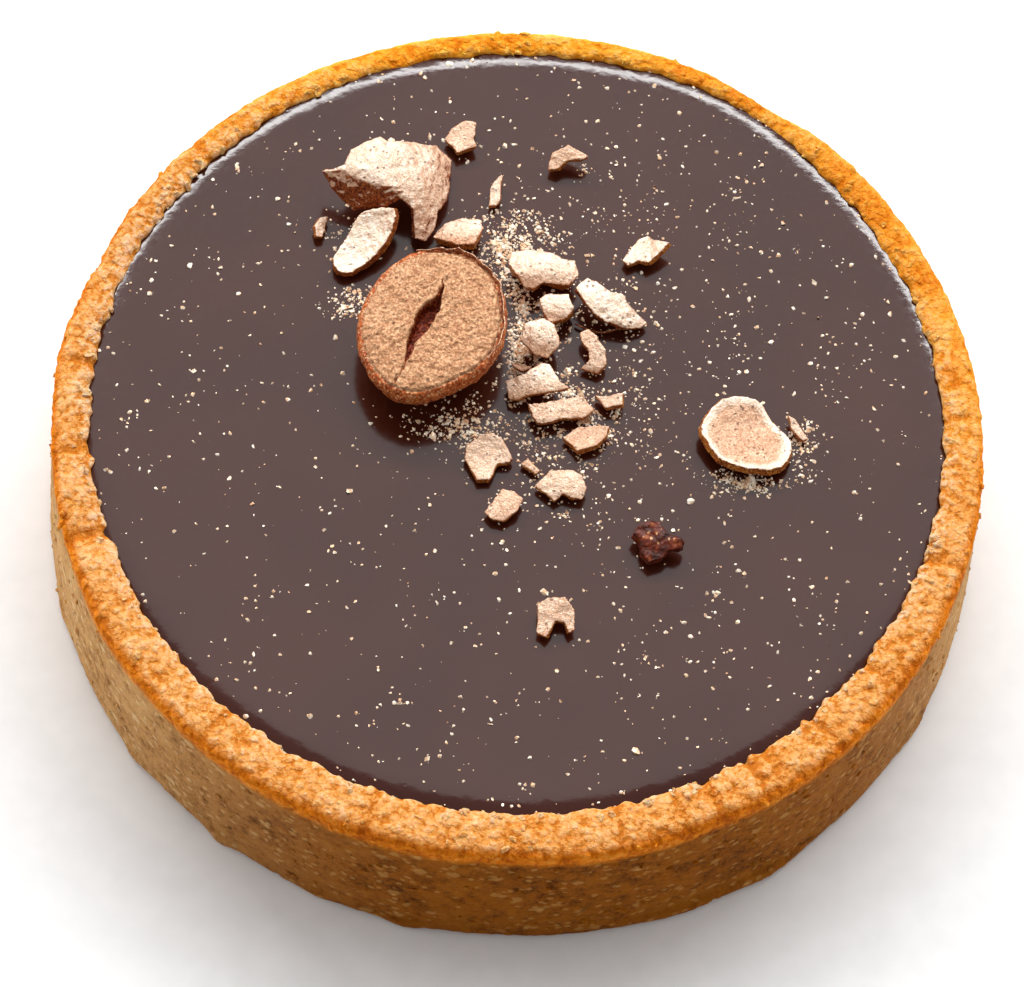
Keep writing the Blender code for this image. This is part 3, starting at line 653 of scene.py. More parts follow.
def skin_tree(material):
    """The set skin of the filling: level with a faint swell, and puckered along its shoulder."""
    tree, given = geometry_tree("Set skin", {
        "Swell Size": ("Float", 16.0), "Swell Height": ("Float", 0.10), "Pucker Size": ("Float", 1.3),
        "Pucker Height": ("Float", 0.045)})
    place = add_node(tree, "GeometryNodeInputPosition")
    shoulder = add_node(tree, "GeometryNodeInputNamedAttribute", {"Name": "shoulder"}, data_type="FLOAT")
    swell_scale, pucker_scale = (
        add_node(tree, "ShaderNodeMath", {0: 1 / MM, 1: given[size]}, operation="DIVIDE")
        for size in ("Swell Size", "Pucker Size"))
    swells, puckers = (
        add_node(tree, "ShaderNodeTexNoise", {"Vector": place, "Scale": scale, "Detail": 1.5})
        for scale in (swell_scale, pucker_scale))
    pucker_height = mixed(tree, (shoulder, 0.0, given["Pucker Height"]))
    total = mixed(tree, (swells, 0.5, given["Swell Height"]), (puckers, 0.5, pucker_height))
    lift = add_node(tree, "ShaderNodeCombineXYZ", {"Z": mixed(tree, (total, 0.0, MM))})
    moved = add_node(tree, "GeometryNodeSetPosition", {"Geometry": given["Geometry"], "Offset": lift})
    end_tree(tree, moved, material)
    return tree


def make_ganache(look):
    profile = fill_profile(look.shoulder_width / MM, look.shoulder_drop / MM)
    filling = turned("ganache_set", profile, FILL_SEGMENTS, set_ganache(look))
    mesh = filling.data
    radius, angle, height = polar(points_of(mesh))
    moved = radius * inner_radius(angle) / INNER_RADIUS
    on_top = height > FILL_SIDE_TOP
    front = smooth_step(-np.sin(angle), -0.2, 0.6) * on_top
    dip = FRONT_DIP * np.clip((radius - INNER_RADIUS) / FRONT_DIP_WIDTH + 1, 0, 1.1) ** 2
    set_points(mesh, from_polar(moved, angle, height - dip * front))
    shoulder = smooth_step(radius, INNER_RADIUS - 2.6, INNER_RADIUS - 0.9) * on_top
    add_attribute(mesh, "shoulder", shoulder)
    run_tree(filling, skin_tree(filling.data.materials[0]), {"Swell Height": look.swell_height / MM})
    keep_piece(filling, "set_ganache", "ganache")


def copy_of(node, name):
    """A merged copy of a CAD node's mesh as a new object."""
    mesh = bpy.data.meshes.new(name)
    data = bmesh.new()
    data.from_mesh(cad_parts[node].data)
    bmesh.ops.remove_doubles(data, verts=data.verts, dist=1e-6)
    data.to_mesh(mesh)
    data.free()
    mesh.materials.clear()
    return new_object(name, mesh)


def chipped_tree(material):
    """Uneven faces and nibbled edges, as brittle pieces have."""
    tree, given = geometry_tree("Brittle surface", {
        "Bend Size": ("Float", 2.2), "Bend Height": ("Float", 0.25), "Chip Size": ("Float", 0.6),
        "Chip Height": ("Float", 0.12), "Seed": ("Float", 0.0)})
    place = add_node(tree, "GeometryNodeInputPosition")
    shift = add_node(tree, "ShaderNodeCombineXYZ", {"X": given["Seed"], "Y": given["Seed"]})
    place = add_node(tree, "ShaderNodeVectorMath", {0: place, 1: shift}, operation="ADD")
    bend_scale, chip_scale = (
        add_node(tree, "ShaderNodeMath", {0: 1 / MM, 1: given[size]}, operation="DIVIDE")
        for size in ("Bend Size", "Chip Size"))
    bends, chips = (
        wandering(tree, place, scale, 2.0, 0.5, mixed(tree, (given[amount], 0.0, 2 * MM)))
        for scale, amount in ((bend_scale, "Bend Height"), (chip_scale, "Chip Height")))
    both = add_node(tree, "ShaderNodeVectorMath", {0: bends, 1: chips}, operation="ADD")
    moved = add_node(tree, "GeometryNodeSetPosition", {"Geometry": given["Geometry"], "Offset": both})
    end_tree(tree, moved, material)
    return tree


def refined(obj, face_size):
    """Rebuilds the mesh in even small faces, their size in millimetres, and rounds its corners."""
    remesh = obj.modifiers.new("even faces", "REMESH")
    remesh.mode = "VOXEL"
    remesh.voxel_size = face_size * MM
    remesh.use_smooth_shade = True
    smooth = obj.modifiers.new("rounded", "SMOOTH")
    smooth.factor = 0.5
    smooth.iterations = 2
    plain_mesh(obj)


NUT_CENTRE = (-8.4, 7.3)
NUT_HALF_WIDTH = 6.3
NUT_HALF_LENGTH = 7.5
NUT_DOME = 4.2
NUT_ABOVE_WAIST = 1.0
NUT_CROWN = 2.5
NUT_TURN = math.radians(-18)
NUT_LEAN = math.radians(-4)
NUT_POINT = 0.16
NUT_SEGMENTS = 320
# The kernel's waist above the base: it lies on its dome, just over the filling.
NUT_RAISED = FILL_TOP + 0.1 + NUT_DOME
# The split between the two halves of the kernel: how wide it is either side of its line, from its front end
# (-1) to its back end (1), in millimetres.
SPLIT_HALF_LENGTH = 4.6
SPLIT_DEPTH = 1.5
SPLIT_PLACES = (-1.5, -1.0, -0.78, -0.5, -0.2, 0.05, 0.28, 0.42, 0.58, 0.8, 1.0)
SPLIT_LEFT = (0.09, 0.10, 0.3, 0.5, 0.62, 0.95, 0.8, 0.35, 0.15, 0.10, 0.0)
SPLIT_RIGHT = (0.09, 0.10, 0.25, 0.35, 0.85, 0.75, 0.75, 0.55, 0.28, 0.14, 0.0)


def nut_outline(angle):
    """Half width and half length of the kernel's egg shape at its waist, as points round it."""
    narrowing = 1 - NUT_POINT * np.maximum(0.0, -np.sin(angle)) ** 2
    wobble = 1 + 0.012 * np.sin(3 * angle + 1.0) + 0.008 * np.sin(5 * angle + 2.0)
    return (NUT_HALF_WIDTH * np.cos(angle) * narrowing * wobble, NUT_HALF_LENGTH * np.sin(angle) * wobble)


def split_depth(x, y):
    """How deep the split is at points of the kernel's face, in millimetres."""
    along = y / SPLIT_HALF_LENGTH
    line_x = -0.5 + 0.18 * np.sin(4.0 * along) - 0.25 * np.clip(-1 - along, 0, 1)
    left = np.interp(along, SPLIT_PLACES, SPLIT_LEFT)
    right = np.interp(along, SPLIT_PLACES, SPLIT_RIGHT)
    wide = np.where(x < line_x, left, right) + 1e-6
    inside = 1 - np.abs(x - line_x) / wide
    deepest = SPLIT_DEPTH * np.clip(wide / 0.5, 0.2, 1)
    return deepest * smooth_step(inside, 0.0, 0.3)


def ring_mesh(name, rings):
    """A closed mesh from rings of points, each an array (count, 3), between two end points as (1, 3)."""
    count = len(rings[1])
    starts = np.cumsum([0] + [len(ring) for ring in rings])
    first, last, end = starts[1], starts[-3], starts[-2]
    steps = [(j, (j + 1) % count) for j in range(count)]
    faces = [(a + j, b + j, b + k, a + k) for a, b in zip(starts[1:-3], starts[2:-2]) for j, k in steps]
    faces += [(0, first + j, first + k) for j, k in steps]
    faces += [(last + j, end, last + k) for j, k in steps]
    mesh = bpy.data.meshes.new(name)
    mesh.from_pydata((np.concatenate(rings) * MM).tolist(), [], faces)
    data = bmesh.new()
    data.from_mesh(mesh)
    bmesh.ops.recalc_face_normals(data, faces=data.faces)
    data.to_mesh(mesh)
    data.free()
    return mesh


def place_nut(mesh):
    for turn in (Matrix.Rotation(NUT_TURN, 4, "Z"), Matrix.Rotation(NUT_LEAN, 4, "Y")):
        mesh.transform(turn)
    mesh.transform(Matrix.Translation((NUT_CENTRE[0] * MM, NUT_CENTRE[1] * MM, NUT_RAISED * MM)))


def make_hazelnut(look):
    material = copper_dusted(
        "copper_dusted_hazelnut", ("#7E2E0A", look.kernel_colour, "#D88E48"),
        ("#96623E", "#B27E56", "#CC9A70"), ("#A26E48", "#BE8A62", "#D8AC84"), 0.5, 0.22)
    angle = np.linspace(0, TAU, NUT_SEGMENTS, endpoint=False)
    x, y = nut_outline(angle)
    start = math.asin(NUT_ABOVE_WAIST / NUT_CROWN)
    face_reach = math.cos(start)
    rings, dusted, hollow = [], [], []

    def add_ring(reach, z, cover, dark=0.0):
        rings.append(np.stack((x * reach, y * reach, z + 0 * x), axis=1))
        dusted.append(cover + 0 * x)
        hollow.append(dark + 0 * x)

    centre_depth = split_depth(np.zeros(1), np.zeros(1))
    rings.append(np.array([[0.0, 0.0, NUT_ABOVE_WAIST - centre_depth[0]]]))
    dusted.append(np.zeros(1))
    hollow.append(np.ones(1))
    for reach in np.linspace(0, 0.97, 78)[1:]:
        depth = split_depth(x * face_reach * reach, y * face_reach * reach)
        lobe = 0.12 * (1 - reach**2) - 0.10 * smooth_step(np.array([reach]), 0.8, 1.0)[0]
        # Deeper in the split, shade is painted in dark red-brown.
        add_ring(face_reach * reach, NUT_ABOVE_WAIST + lobe - depth, 1.0 - smooth_step(depth, 0.1, 0.5),
                 smooth_step(depth, 0.15, 0.7))
    for reach, drop, cover in ((0.985, 0.12, 0.95), (0.997, 0.2, 0.8), (1.004, 0.34, 0.6)):
        add_ring(face_reach * reach, NUT_ABOVE_WAIST - drop, cover)
    for slope in np.linspace(start * 0.75, 0, 9):
        add_ring(math.cos(slope), NUT_CROWN * math.sin(slope), 0.36)
    for slope in np.linspace(0, math.pi / 2, 44)[1:-1]:
        add_ring(math.cos(slope), -NUT_DOME * math.sin(slope), 0.26)
    rings.append(np.array([[0.0, 0.0, -NUT_DOME]]))
    dusted.append(np.zeros(1))
    hollow.append(np.zeros(1))
    mesh = ring_mesh("hazelnut_half_dusted", rings)
    add_attribute(mesh, "dusted", np.concatenate(dusted))
    add_attribute(mesh, "hollow", np.concatenate(hollow))
    add_attribute(mesh, "pale", np.full(len(mesh.vertices), 0.5))
    place_nut(mesh)
    nut = new_object("hazelnut_half_dusted", mesh)
    run_tree(nut, chipped_tree(material), {
        "Bend Size": 1.6, "Bend Height": 0.16, "Chip Size": 0.55, "Chip Height": 0.22, "Seed": 0.3})
    keep_piece(nut, "copper_dusted_hazelnut", "hazelnut_half")


def ribbon(name, path, half_width, half_thick, side):
    """A closed strip of elliptical section along a path. Side is the direction of its width at each point."""
    turns = np.linspace(0, TAU, 8, endpoint=False)
    along = np.gradient(path, axis=0)
    across = side / np.linalg.norm(side, axis=1, keepdims=True)
    normal = np.cross(along, across)
    normal /= np.linalg.norm(normal, axis=1, keepdims=True)
    rings = [path[:1]]
    for centre, wide, thick, a, b in zip(path, half_width, half_thick, across, normal):
        rings.append(centre + np.outer(np.cos(turns) * wide, a) + np.outer(np.sin(turns) * thick, b))
    rings.append(path[-1:])
    return ring_mesh(name, rings)


# The strip of skin runs along this part of the kernel's outline, in degrees, just inside it.
SKIN_FROM, SKIN_TO = -12, 128
SKIN_REACH = 0.965
SKIN_DROP = 0.22


def make_nut_skin():
    """The strip of papery brown skin that stands off the kernel along its back right edge."""
    material = copper_dusted(
        "hazelnut_skin", ("#4F1B0F", "#8A4526", "#B97648"), ("#A8714F", "#D5A27C", "#F0CBA8"),
        ("#C08A66", "#E0B490", "#F6DABE"), 0.45)
    angle = np.radians(np.linspace(SKIN_FROM, SKIN_TO, 150))
    x, y = nut_outline(angle)
    reach = SKIN_REACH + 0.012 * np.sin(angle * 9.0) + 0.008 * np.sin(angle * 23.0 + 1.0)
    fade = np.minimum(smooth_step(angle, angle[0], angle[0] + 0.5), smooth_step(angle[-1] - angle, 0.0, 0.5))
    z = NUT_ABOVE_WAIST - SKIN_DROP + 0.12 * fade + 0.05 * np.sin(angle * 17.0)
    path = np.stack((x * reach, y * reach, z), axis=1)
    lean = np.stack((0.35 * np.cos(angle), 0.35 * np.sin(angle), 1 + 0 * angle), axis=1)
    ragged = 1 + 0.35 * np.sin(angle * 31.0) + 0.25 * np.sin(angle * 53.0 + 2.0)
    mesh = ribbon("hazelnut_skin", path, 0.08 + 0.17 * fade * ragged, 0.05 + 0.04 * fade, lean)
    place_nut(mesh)
    skin = new_object("hazelnut_skin", mesh)
    paint_dusted(mesh, 0.75, 0.98)
    mesh.materials.append(material)
    mesh.shade_smooth()
    keep_piece(skin, "copper_dusted_hazelnut")


def paint_dusted(mesh, bare_below=0.5, covered_above=0.86, pale=0.5, deep=0.0):
    """Dust settles on what faces up: how much each point has, how pale it is and how dark bare sides are,
    partly their own deep brown and partly painted shade.
    """
    normals = np.empty(len(mesh.vertices) * 3, np.float32)
    mesh.vertex_normals.foreach_get("vector", normals)
    level = normals.reshape(-1, 3)[:, 2]
    dusted = smooth_step(level, bare_below, covered_above)
    add_attribute(mesh, "dusted", 0.12 + 0.88 * dusted)
    add_attribute(mesh, "hollow", deep * (1 - dusted))
    add_attribute(mesh, "pale", pale * (0.2 + 0.8 * smooth_step(level, 0.74, 0.97)))


def broken_nodes():
    skip = ("crust", "ganache", "hazelnut_half", "chocolate_bit")
    return sorted(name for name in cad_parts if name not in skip)


# How thickly the pieces are dusted by kind or by name, from thin copper (0) to cream (1), and how dark the
# bare sides of some are, partly their own deep brown and partly painted shade. Pieces of one kind differ by
# up to the spread, in uneven steps.
USUAL_THICKNESS = 0.3
THICKNESS = {"chunk": 0.4, "shard": 0.12, "flake": 0.15}
THICKNESS_SPREAD = 0.3
THICKNESS_STEP = 0.618
THICKNESS_OF = {"shell_round": 0.1, "shell_petal": 1.0, "shell_folded": 0.68, "shard_long": 0.9,
                "flake_raised": 0.8}
DEEP_BROWN_AND_SHADE = {"shell_folded": 0.75, "shell_petal": 0.4, "shard_long": 0.5}
EDGE_SECTORS = 48


def dust_and_painted_light(node, index, points):
    """How thickly each point of a broken piece is dusted. The round shell has a paler raised edge, a painted
    highlight, and the chunks are paler towards the back and darker at the front, as painted light and shade."""
    x, y = (points[:, axis] - points[:, axis].mean() for axis in (0, 1))
    kind = node.split("_")[0]
    usual = THICKNESS.get(kind, USUAL_THICKNESS) + THICKNESS_SPREAD * (index * THICKNESS_STEP % 1)
    thick = THICKNESS_OF.get(node, usual) + 0 * x
    if kind == "chunk":
        # Paler at the back and darker at the front: painted light and shade.
        thick = thick + 0.6 * y / np.abs(y).max()
    if node == "shell_round":
        # The paler raised edge is a painted highlight.
        reach = np.hypot(x, y)
        sector = ((np.arctan2(y, x) / TAU + 0.5) * EDGE_SECTORS).astype(int) % EDGE_SECTORS
        limit = np.zeros(EDGE_SECTORS)
        np.maximum.at(limit, sector, reach)
        thick = thick + 0.9 * smooth_step(reach / limit[sector], 0.7, 0.9)
    return np.clip(thick, 0, 1)


def make_broken_pieces(look):
    material = copper_dusted(
        "copper_dusted_shell", ("#6A2A0C", look.bare_colour, "#E09A44"),
        ("#B47E58", look.copper_colour, "#DEB490"), ("#EBD0B4", look.cream_colour, "#FFF4E8"), 0.46)
    tree = chipped_tree(material)
    for index, node in enumerate(broken_nodes()):
        piece = copy_of(node, node + "_dusted")
        refined(piece, look.face_size / MM)
        run_tree(piece, tree, {"Seed": 0.1 * index, "Bend Height": 0.2, "Chip Height": look.chip_height / MM})
        thick = dust_and_painted_light(node, index, points_of(piece.data))
        paint_dusted(piece.data, 0.5, 0.78, thick, DEEP_BROWN_AND_SHADE.get(node, 0.0))
        keep_piece(piece, "copper_dusted_shell", node)
    make_curled_strip(material)


# Where the curled strip starts on the filling, how far it runs from there and how far it bows to the front.
STRIP_START = (3.9, 10.95, FILL_TOP + 0.42)
STRIP_RUN = (4.5, 0.35)
STRIP_BOW = 0.75


def make_curled_strip(material):
    """A thin brown strip of shell that curls under the front edge of the long shard."""
    along = np.linspace(0, 1, 60)
    x = STRIP_START[0] + STRIP_RUN[0] * along
    y = STRIP_START[1] - STRIP_BOW * np.sin(math.pi * along) + STRIP_RUN[1] * along
    z = STRIP_START[2] + 0.08 * np.sin(9 * along)
    path = np.stack((x, y, z), axis=1)
    lean = np.stack((0 * along, -0.5 + 0.3 * along, 1 + 0 * along), axis=1)
    wide = 0.36 * np.sin(math.pi * np.clip(along, 0.06, 0.97)) ** 0.5 * (1 + 0.15 * np.sin(40 * along))
    mesh = ribbon("shell_strip_curled", path, wide, 0.07 + 0 * along, lean)
    strip = new_object("shell_strip_curled", mesh)
    # Its bare sides are painted deep brown, partly their own colour and partly shade.
    paint_dusted(mesh, 0.85, 0.99, 0.2, 0.6)
    mesh.materials.append(material)
    mesh.shade_smooth()
    keep_piece(strip, "copper_dusted_shell")


def make_chocolate_bit(look):
    material = dark_chocolate()
    piece = copy_of("chocolate_bit", "chocolate_bit_broken")
    refined(piece, look.face_size / MM)
    run_tree(piece, chipped_tree(material), {"Seed": 0.7, "Bend Height": 0.3, "Chip Height": 0.2})
    keep_piece(piece, "dark_chocolate", "chocolate_bit")


# Where the dust lies thickest on the filling: centre, spread along X and Y, in millimetres, and weight.
DUST_PILES = (
    (-2.2, 18.6, 3.0, 2.0, 18.0), (-0.2, 11.0, 1.4, 4.8, 24.0), (-15.2, 11.2, 1.6, 1.1, 24.0),
    (-4.5, 0.2, 3.4, 1.5, 13.0), (5.0, 3.0, 4.0, 4.5, 6.0), (19.6, -2.5, 2.7, 0.8, 15.0),
    (24.0, 1.0, 1.4, 2.0, 9.0), (2.0, 14.0, 6.0, 6.0, 1.6), (5.0, -2.0, 8.0, 6.0, 1.0),
    (-16.5, 17.5, 2.4, 2.0, 1.2), (0.4, 9.0, 1.6, 2.0, 8.0), (12.0, 12.0, 12.0, 12.0, 0.28),
    (14.0, -18.0, 9.0, 7.0, 0.16), (8.0, 26.0, 14.0, 4.0, 0.28),
)
# Specks per square millimetre away from the piles, and how much of the finest powder lies there.
DUST_EVERYWHERE = 0.32
POWDER_EVERYWHERE = 0.05


def dust_density(points, everywhere):
    """Specks per square millimetre at each point of the filling."""
    x, y, z = points.T / MM
    total = np.full(len(x), everywhere)
    for at_x, at_y, wide, deep, weight in DUST_PILES:
        total += weight * np.exp(-(((x - at_x) / wide) ** 2) - ((y - at_y) / deep) ** 2)
    total *= np.where(z > FILL_TOP - 0.45, 1.0, 0.0)
    return total


def grain_tree(material, name):
    """Scatters uneven grains over a surface by its 'dust' attribute, in grains per square millimetre."""
    tree, given = geometry_tree(name, {
        "Amount": ("Float", 1.0), "Smallest": ("Float", 0.08), "Largest": ("Float", 0.4),
        "Rarity": ("Float", 3.0), "Flatness": ("Float", 0.6), "Unevenness": ("Float", 0.2),
        "Seed": ("Int", 1)})
    dust = add_node(tree, "GeometryNodeInputNamedAttribute", {"Name": "dust"}, data_type="FLOAT")
    place = add_node(tree, "GeometryNodeInputPosition")
    drifts, clumps = (
        add_node(tree, "ShaderNodeMapRange", {
            "Value": add_node(tree, "ShaderNodeTexNoise", {
                "Vector": place, "Scale": per_mm(size), "Detail": detail, "Roughness": 0.55}),
            "From Min": low, "From Max": high, "To Min": fewest, "To Max": most})
        for size, detail, low, high, fewest, most in (
            (5.0, 2.0, 0.35, 0.7, 0.3, 1.7), (1.3, 1.0, 0.46, 0.70, 0.35, 2.8)))
    uneven_dust = mixed(tree, (dust, 0.0, mixed(tree, (drifts, 0.0, clumps))))
    density = mixed(tree, (mixed(tree, (uneven_dust, 0.0, given["Amount"])), 0.0, 1 / MM**2))
    spread = add_node(tree, "GeometryNodeDistributePointsOnFaces", {
        "Mesh": given["Geometry"], "Density": density, "Seed": given["Seed"]}, distribute_method="RANDOM")
    chance = add_node(tree, "FunctionNodeRandomValue", {2: 0.0, 3: 1.0, "Seed": given["Seed"]},
                      data_type="FLOAT")
    power = add_node(tree, "ShaderNodeMath", {0: chance.outputs[1], 1: given["Rarity"]}, operation="POWER")
    size = add_node(tree, "ShaderNodeMapRange", {
        "Value": power, "To Min": given["Smallest"], "To Max": given["Largest"]})
    turn = add_node(tree, "FunctionNodeRandomValue", {0: (-0.5, -0.5, 0.0), 1: (0.5, 0.5, TAU)},
                    data_type="FLOAT_VECTOR")
    aspect = add_node(tree, "FunctionNodeRandomValue", {0: (0.6, 0.7, 0.5), 1: (1.5, 1.2, 1.0)},
                      data_type="FLOAT_VECTOR")
    flat = add_node(tree, "ShaderNodeCombineXYZ", {"X": 1.0, "Y": 1.0, "Z": given["Flatness"]})
    shape = add_node(tree, "ShaderNodeVectorMath", {0: aspect, 1: flat}, operation="MULTIPLY")
    scale = add_node(tree, "ShaderNodeVectorMath", {0: shape, "Scale": mixed(tree, (size, 0.0, 0.5 * MM))},
                     operation="SCALE")
    ball = add_node(tree, "GeometryNodeMeshIcoSphere", {"Radius": 1.0, "Subdivisions": 1})
    lying = add_node(tree, "FunctionNodeRotateRotation", {
        "Rotation": spread.outputs["Rotation"], "Rotate By": turn}, rotation_space="LOCAL")
    grains = add_node(tree, "GeometryNodeInstanceOnPoints", {
        "Points": spread, "Instance": ball, "Rotation": lying, "Scale": scale})
    real = add_node(tree, "GeometryNodeRealizeInstances", {"Geometry": grains})
    uneven = wandering(tree, place, per_mm(0.18), 1.0, 0.55, mixed(tree, (given["Unevenness"], 0.0, MM)))
    moved = add_node(tree, "GeometryNodeSetPosition", {"Geometry": real, "Offset": uneven})
    end_tree(tree, moved, material, smooth=False)
    return tree


def scattered(name, surface, dust, tree, values):
    """A new piece of grains scattered on a copy of the surface with the given density at its points."""
    mesh = surface.data.copy()
    mesh.materials.clear()
    add_attribute(mesh, "dust", dust)
    obj = new_object(name, mesh)
    run_tree(obj, tree, values)
    return obj


def make_dust(look):
    material = copper_dust(look)
    filling = bpy.data.objects["ganache_set"]
    places = points_of(filling.data)
    density = dust_density(places, DUST_EVERYWHERE)
    tree = grain_tree(material, "Lustre dust")
    fine = scattered("dust_fine", filling, density, tree, {
        "Amount": look.amount, "Smallest": look.smallest / MM, "Largest": look.largest / MM, "Rarity": 1.8,
        "Flatness": 0.8, "Unevenness": 0.3, "Seed": look.seed})
    keep_piece(fine, "copper_dusted_shell")
    powder = scattered("dust_powder", filling, dust_density(places, POWDER_EVERYWHERE), tree, {
        "Amount": 2.0 * look.amount, "Smallest": 0.4 * look.smallest / MM, "Largest": 0.6 * look.largest / MM,
        "Rarity": 1.5, "Flatness": 0.8, "Unevenness": 0.15, "Seed": look.seed + 4})
    keep_piece(powder, "copper_dusted_shell")
    crumbs = scattered("dust_crumbs", filling, density, tree, {
        "Amount": 0.03 * look.amount, "Smallest": 0.4, "Largest": 0.85, "Rarity": 2.5, "Unevenness": 0.6,
        "Seed": look.seed + 8})
    keep_piece(crumbs, "copper_dusted_shell")


def make_case_crumbs():
    """Loose crumbs, most of them along the inner lip of the rim, in the colours of the pastry they lie on."""
    case = bpy.data.objects["crust_baked"]
    radius, angle, height = polar(points_of(case.data))
    top = smooth_step(height, CASE_HEIGHT - 1.2, CASE_HEIGHT - 0.4)
    lip = np.exp(-(((radius - inner_radius(angle) - 0.5) / 0.45) ** 2)) * top
    wall = smooth_step(height, 0.5, 1.5) * (radius > CASE_RADIUS - 0.8)
    density = 0.1 * top + 0.5 * lip + 0.1 * wall * (1 - top)
    tree = grain_tree(case.data.materials[0], "Pastry crumbs")
    crumbs = scattered("crust_crumbs", case, density, tree, {
        "Amount": 1.0, "Smallest": 0.3, "Largest": 0.8, "Rarity": 1.8, "Flatness": 0.9, "Unevenness": 0.6,
        "Seed": 5})
    mesh = crumbs.data
    for name in ("rim", "edge", "lip", "amber_glow", "front_shade", "relief", "seen", "cracks", "dust"):
        if name in mesh.attributes:
            mesh.attributes.remove(mesh.attributes[name])
    radius, angle, height = polar(points_of(mesh))
    paint_pastry(mesh, radius, angle, height)
    add_attribute(mesh, "relief", 0.9 + 0 * height)
    keep_piece(crumbs, "baked_shortcrust")


# ---------------------------------------------------------------- stage

# Places and lengths of the stage are in metres.
CAMERA_PLACE = Vector((0.0, -0.2577, 0.5133))
CAMERA_AIM = Vector((-0.000084, -0.006088, 0.0161))
CAMERA_ROLL = math.radians(5.5825)
CAMERA_LENS = 229.7
SENSOR_WIDTH = 36.0
LAMP_AIM = Vector((0, 0, 0.01))
FLOOR_RADIUS = 2.5


def aim(obj, place, target, roll=0.0):
    """Places an object that looks along its own -Z, and turns it about that line."""
    forward = (target - place).normalized()
    side = forward.cross(Vector((0, 0, 1))).normalized()
    up = side.cross(forward)
    right = math.cos(roll) * side + math.sin(roll) * up
    top = -math.sin(roll) * side + math.cos(roll) * up
    turn = Matrix((right, top, -forward)).transposed().to_4x4()
    obj.matrix_world = Matrix.Translation(place) @ turn


def softbox(name, elevation, azimuth, distance, width, depth, radiance):
    """A rectangular lamp that faces the tart. Its angles are in degrees and its lengths in metres, and the
    radiance is the brightness of its face."""
    lamp = bpy.data.lights.new(name, "AREA")
    lamp.shape = "RECTANGLE"
    lamp.size = width
    lamp.size_y = depth
    lamp.energy = radiance * math.pi * width * depth
    obj = new_object(name, lamp)
    up, round_z = math.radians(elevation), math.radians(azimuth)
    level = math.cos(up)
    place = distance * Vector((level * math.cos(round_z), level * math.sin(round_z), math.sin(up)))
    aim(obj, place, LAMP_AIM)
    obj.visible_camera = False
    return obj


def make_stage(look):
    mesh = bpy.data.meshes.new("floor")
    data = bmesh.new()
    bmesh.ops.create_circle(data, cap_ends=True, segments=96, radius=FLOOR_RADIUS)
    data.to_mesh(mesh)
    data.free()
    floor = new_object("floor", mesh)
    mesh.materials.append(pale_paper(look))

    camera = bpy.data.cameras.new("camera")
    camera.lens = CAMERA_LENS
    camera.sensor_width = SENSOR_WIDTH
    camera.clip_start = 0.01
    eye = new_object("camera", camera)
    aim(eye, CAMERA_PLACE, CAMERA_AIM, CAMERA_ROLL)
    bpy.context.scene.camera = eye

    softbox("overhead_softbox", 68, 90, 1.0, 1.2, 0.46, look.overhead)
    softbox("back_panel", 46, 90, 1.2, 1.9, 0.16, look.back)
    softbox("left_panel", 14, 165, 1.2, 0.9, 0.5, look.left)
    softbox("right_panel", 14, 15, 1.2, 0.9, 0.5, look.right)
    world = bpy.data.worlds.new("studio")
    world.use_nodes = True
    background = world.node_tree.nodes["Background"]
    background.inputs["Color"].default_value = linear("#FFFFFF")
    background.inputs["Strength"].default_value = look.surround
    bpy.context.scene.world = world
    bpy.context.scene.view_settings.view_transform = "Standard"


# ---------------------------------------------------------------- add-on

def colour_property(name, description, code):
    return FloatVectorProperty(name=name, description=description, default=linear(code), size=4,
                               min=0.0, max=1.0, subtype="COLOR")


def length_property(name, description, default):
    """A length with its default in millimetres, held in metres."""
    return FloatProperty(name=name, description=description, default=default * MM, min=0.0, precision=5,
                         unit="LENGTH")


def brightness_property(name, description, default):
    return FloatProperty(name=name, description=description, default=default, min=0.0, soft_max=20.0,
                         subtype="FACTOR")


class CrustLook(bpy.types.PropertyGroup):
    """Sizes and colours of the pastry case"""
    crumb_size: length_property("Crumb size", "Width of one crumb on the rim", 0.8)
    crumb_height: length_property("Crumb height", "How far the crumbs stand out", 0.38)
    pit_depth: length_property("Pit depth", "Depth of the pits in the wall", 0.25)
    rim_colour: colour_property("Rim", "Crumbs of the cut rim", "#EBAD6D")
    # Painted shade: the deeper orange in the hollows between the crumbs of the rim.
    hollow_colour: colour_property("Hollows", "Between the crumbs of the rim", "#C87322")
    # Painted glow: the colour of back light shining through the thin rim at the back.
    amber_glow_colour: colour_property("Amber", "The thin rim at the back", "#F8A62C")
    wall_colour: colour_property("Wall", "The wall at its sides", "#C19058")
    # Painted shade: the colour of the front of the wall where it lies in shade.
    shaded_front_colour: colour_property("Front", "The browned front of the wall", "#8C4E0C")


class GanacheLook(bpy.types.PropertyGroup):
    """Sizes and colours of the filling"""
    colour: colour_property("Ganache", "The darker tone of the filling", "#36130A")
    roughness: FloatProperty(name="Roughness", description="How blurred its reflections are", default=0.15,
                             min=0.03, max=1.0, subtype="FACTOR")
    shoulder_width: length_property("Shoulder width", "Width of the band that bends down to the case", 2.2)
    shoulder_drop: length_property("Shoulder drop", "How far it bends down there", 0.18)
    swell_height: length_property("Swell", "Height of the faint waves of its surface", 0.10)


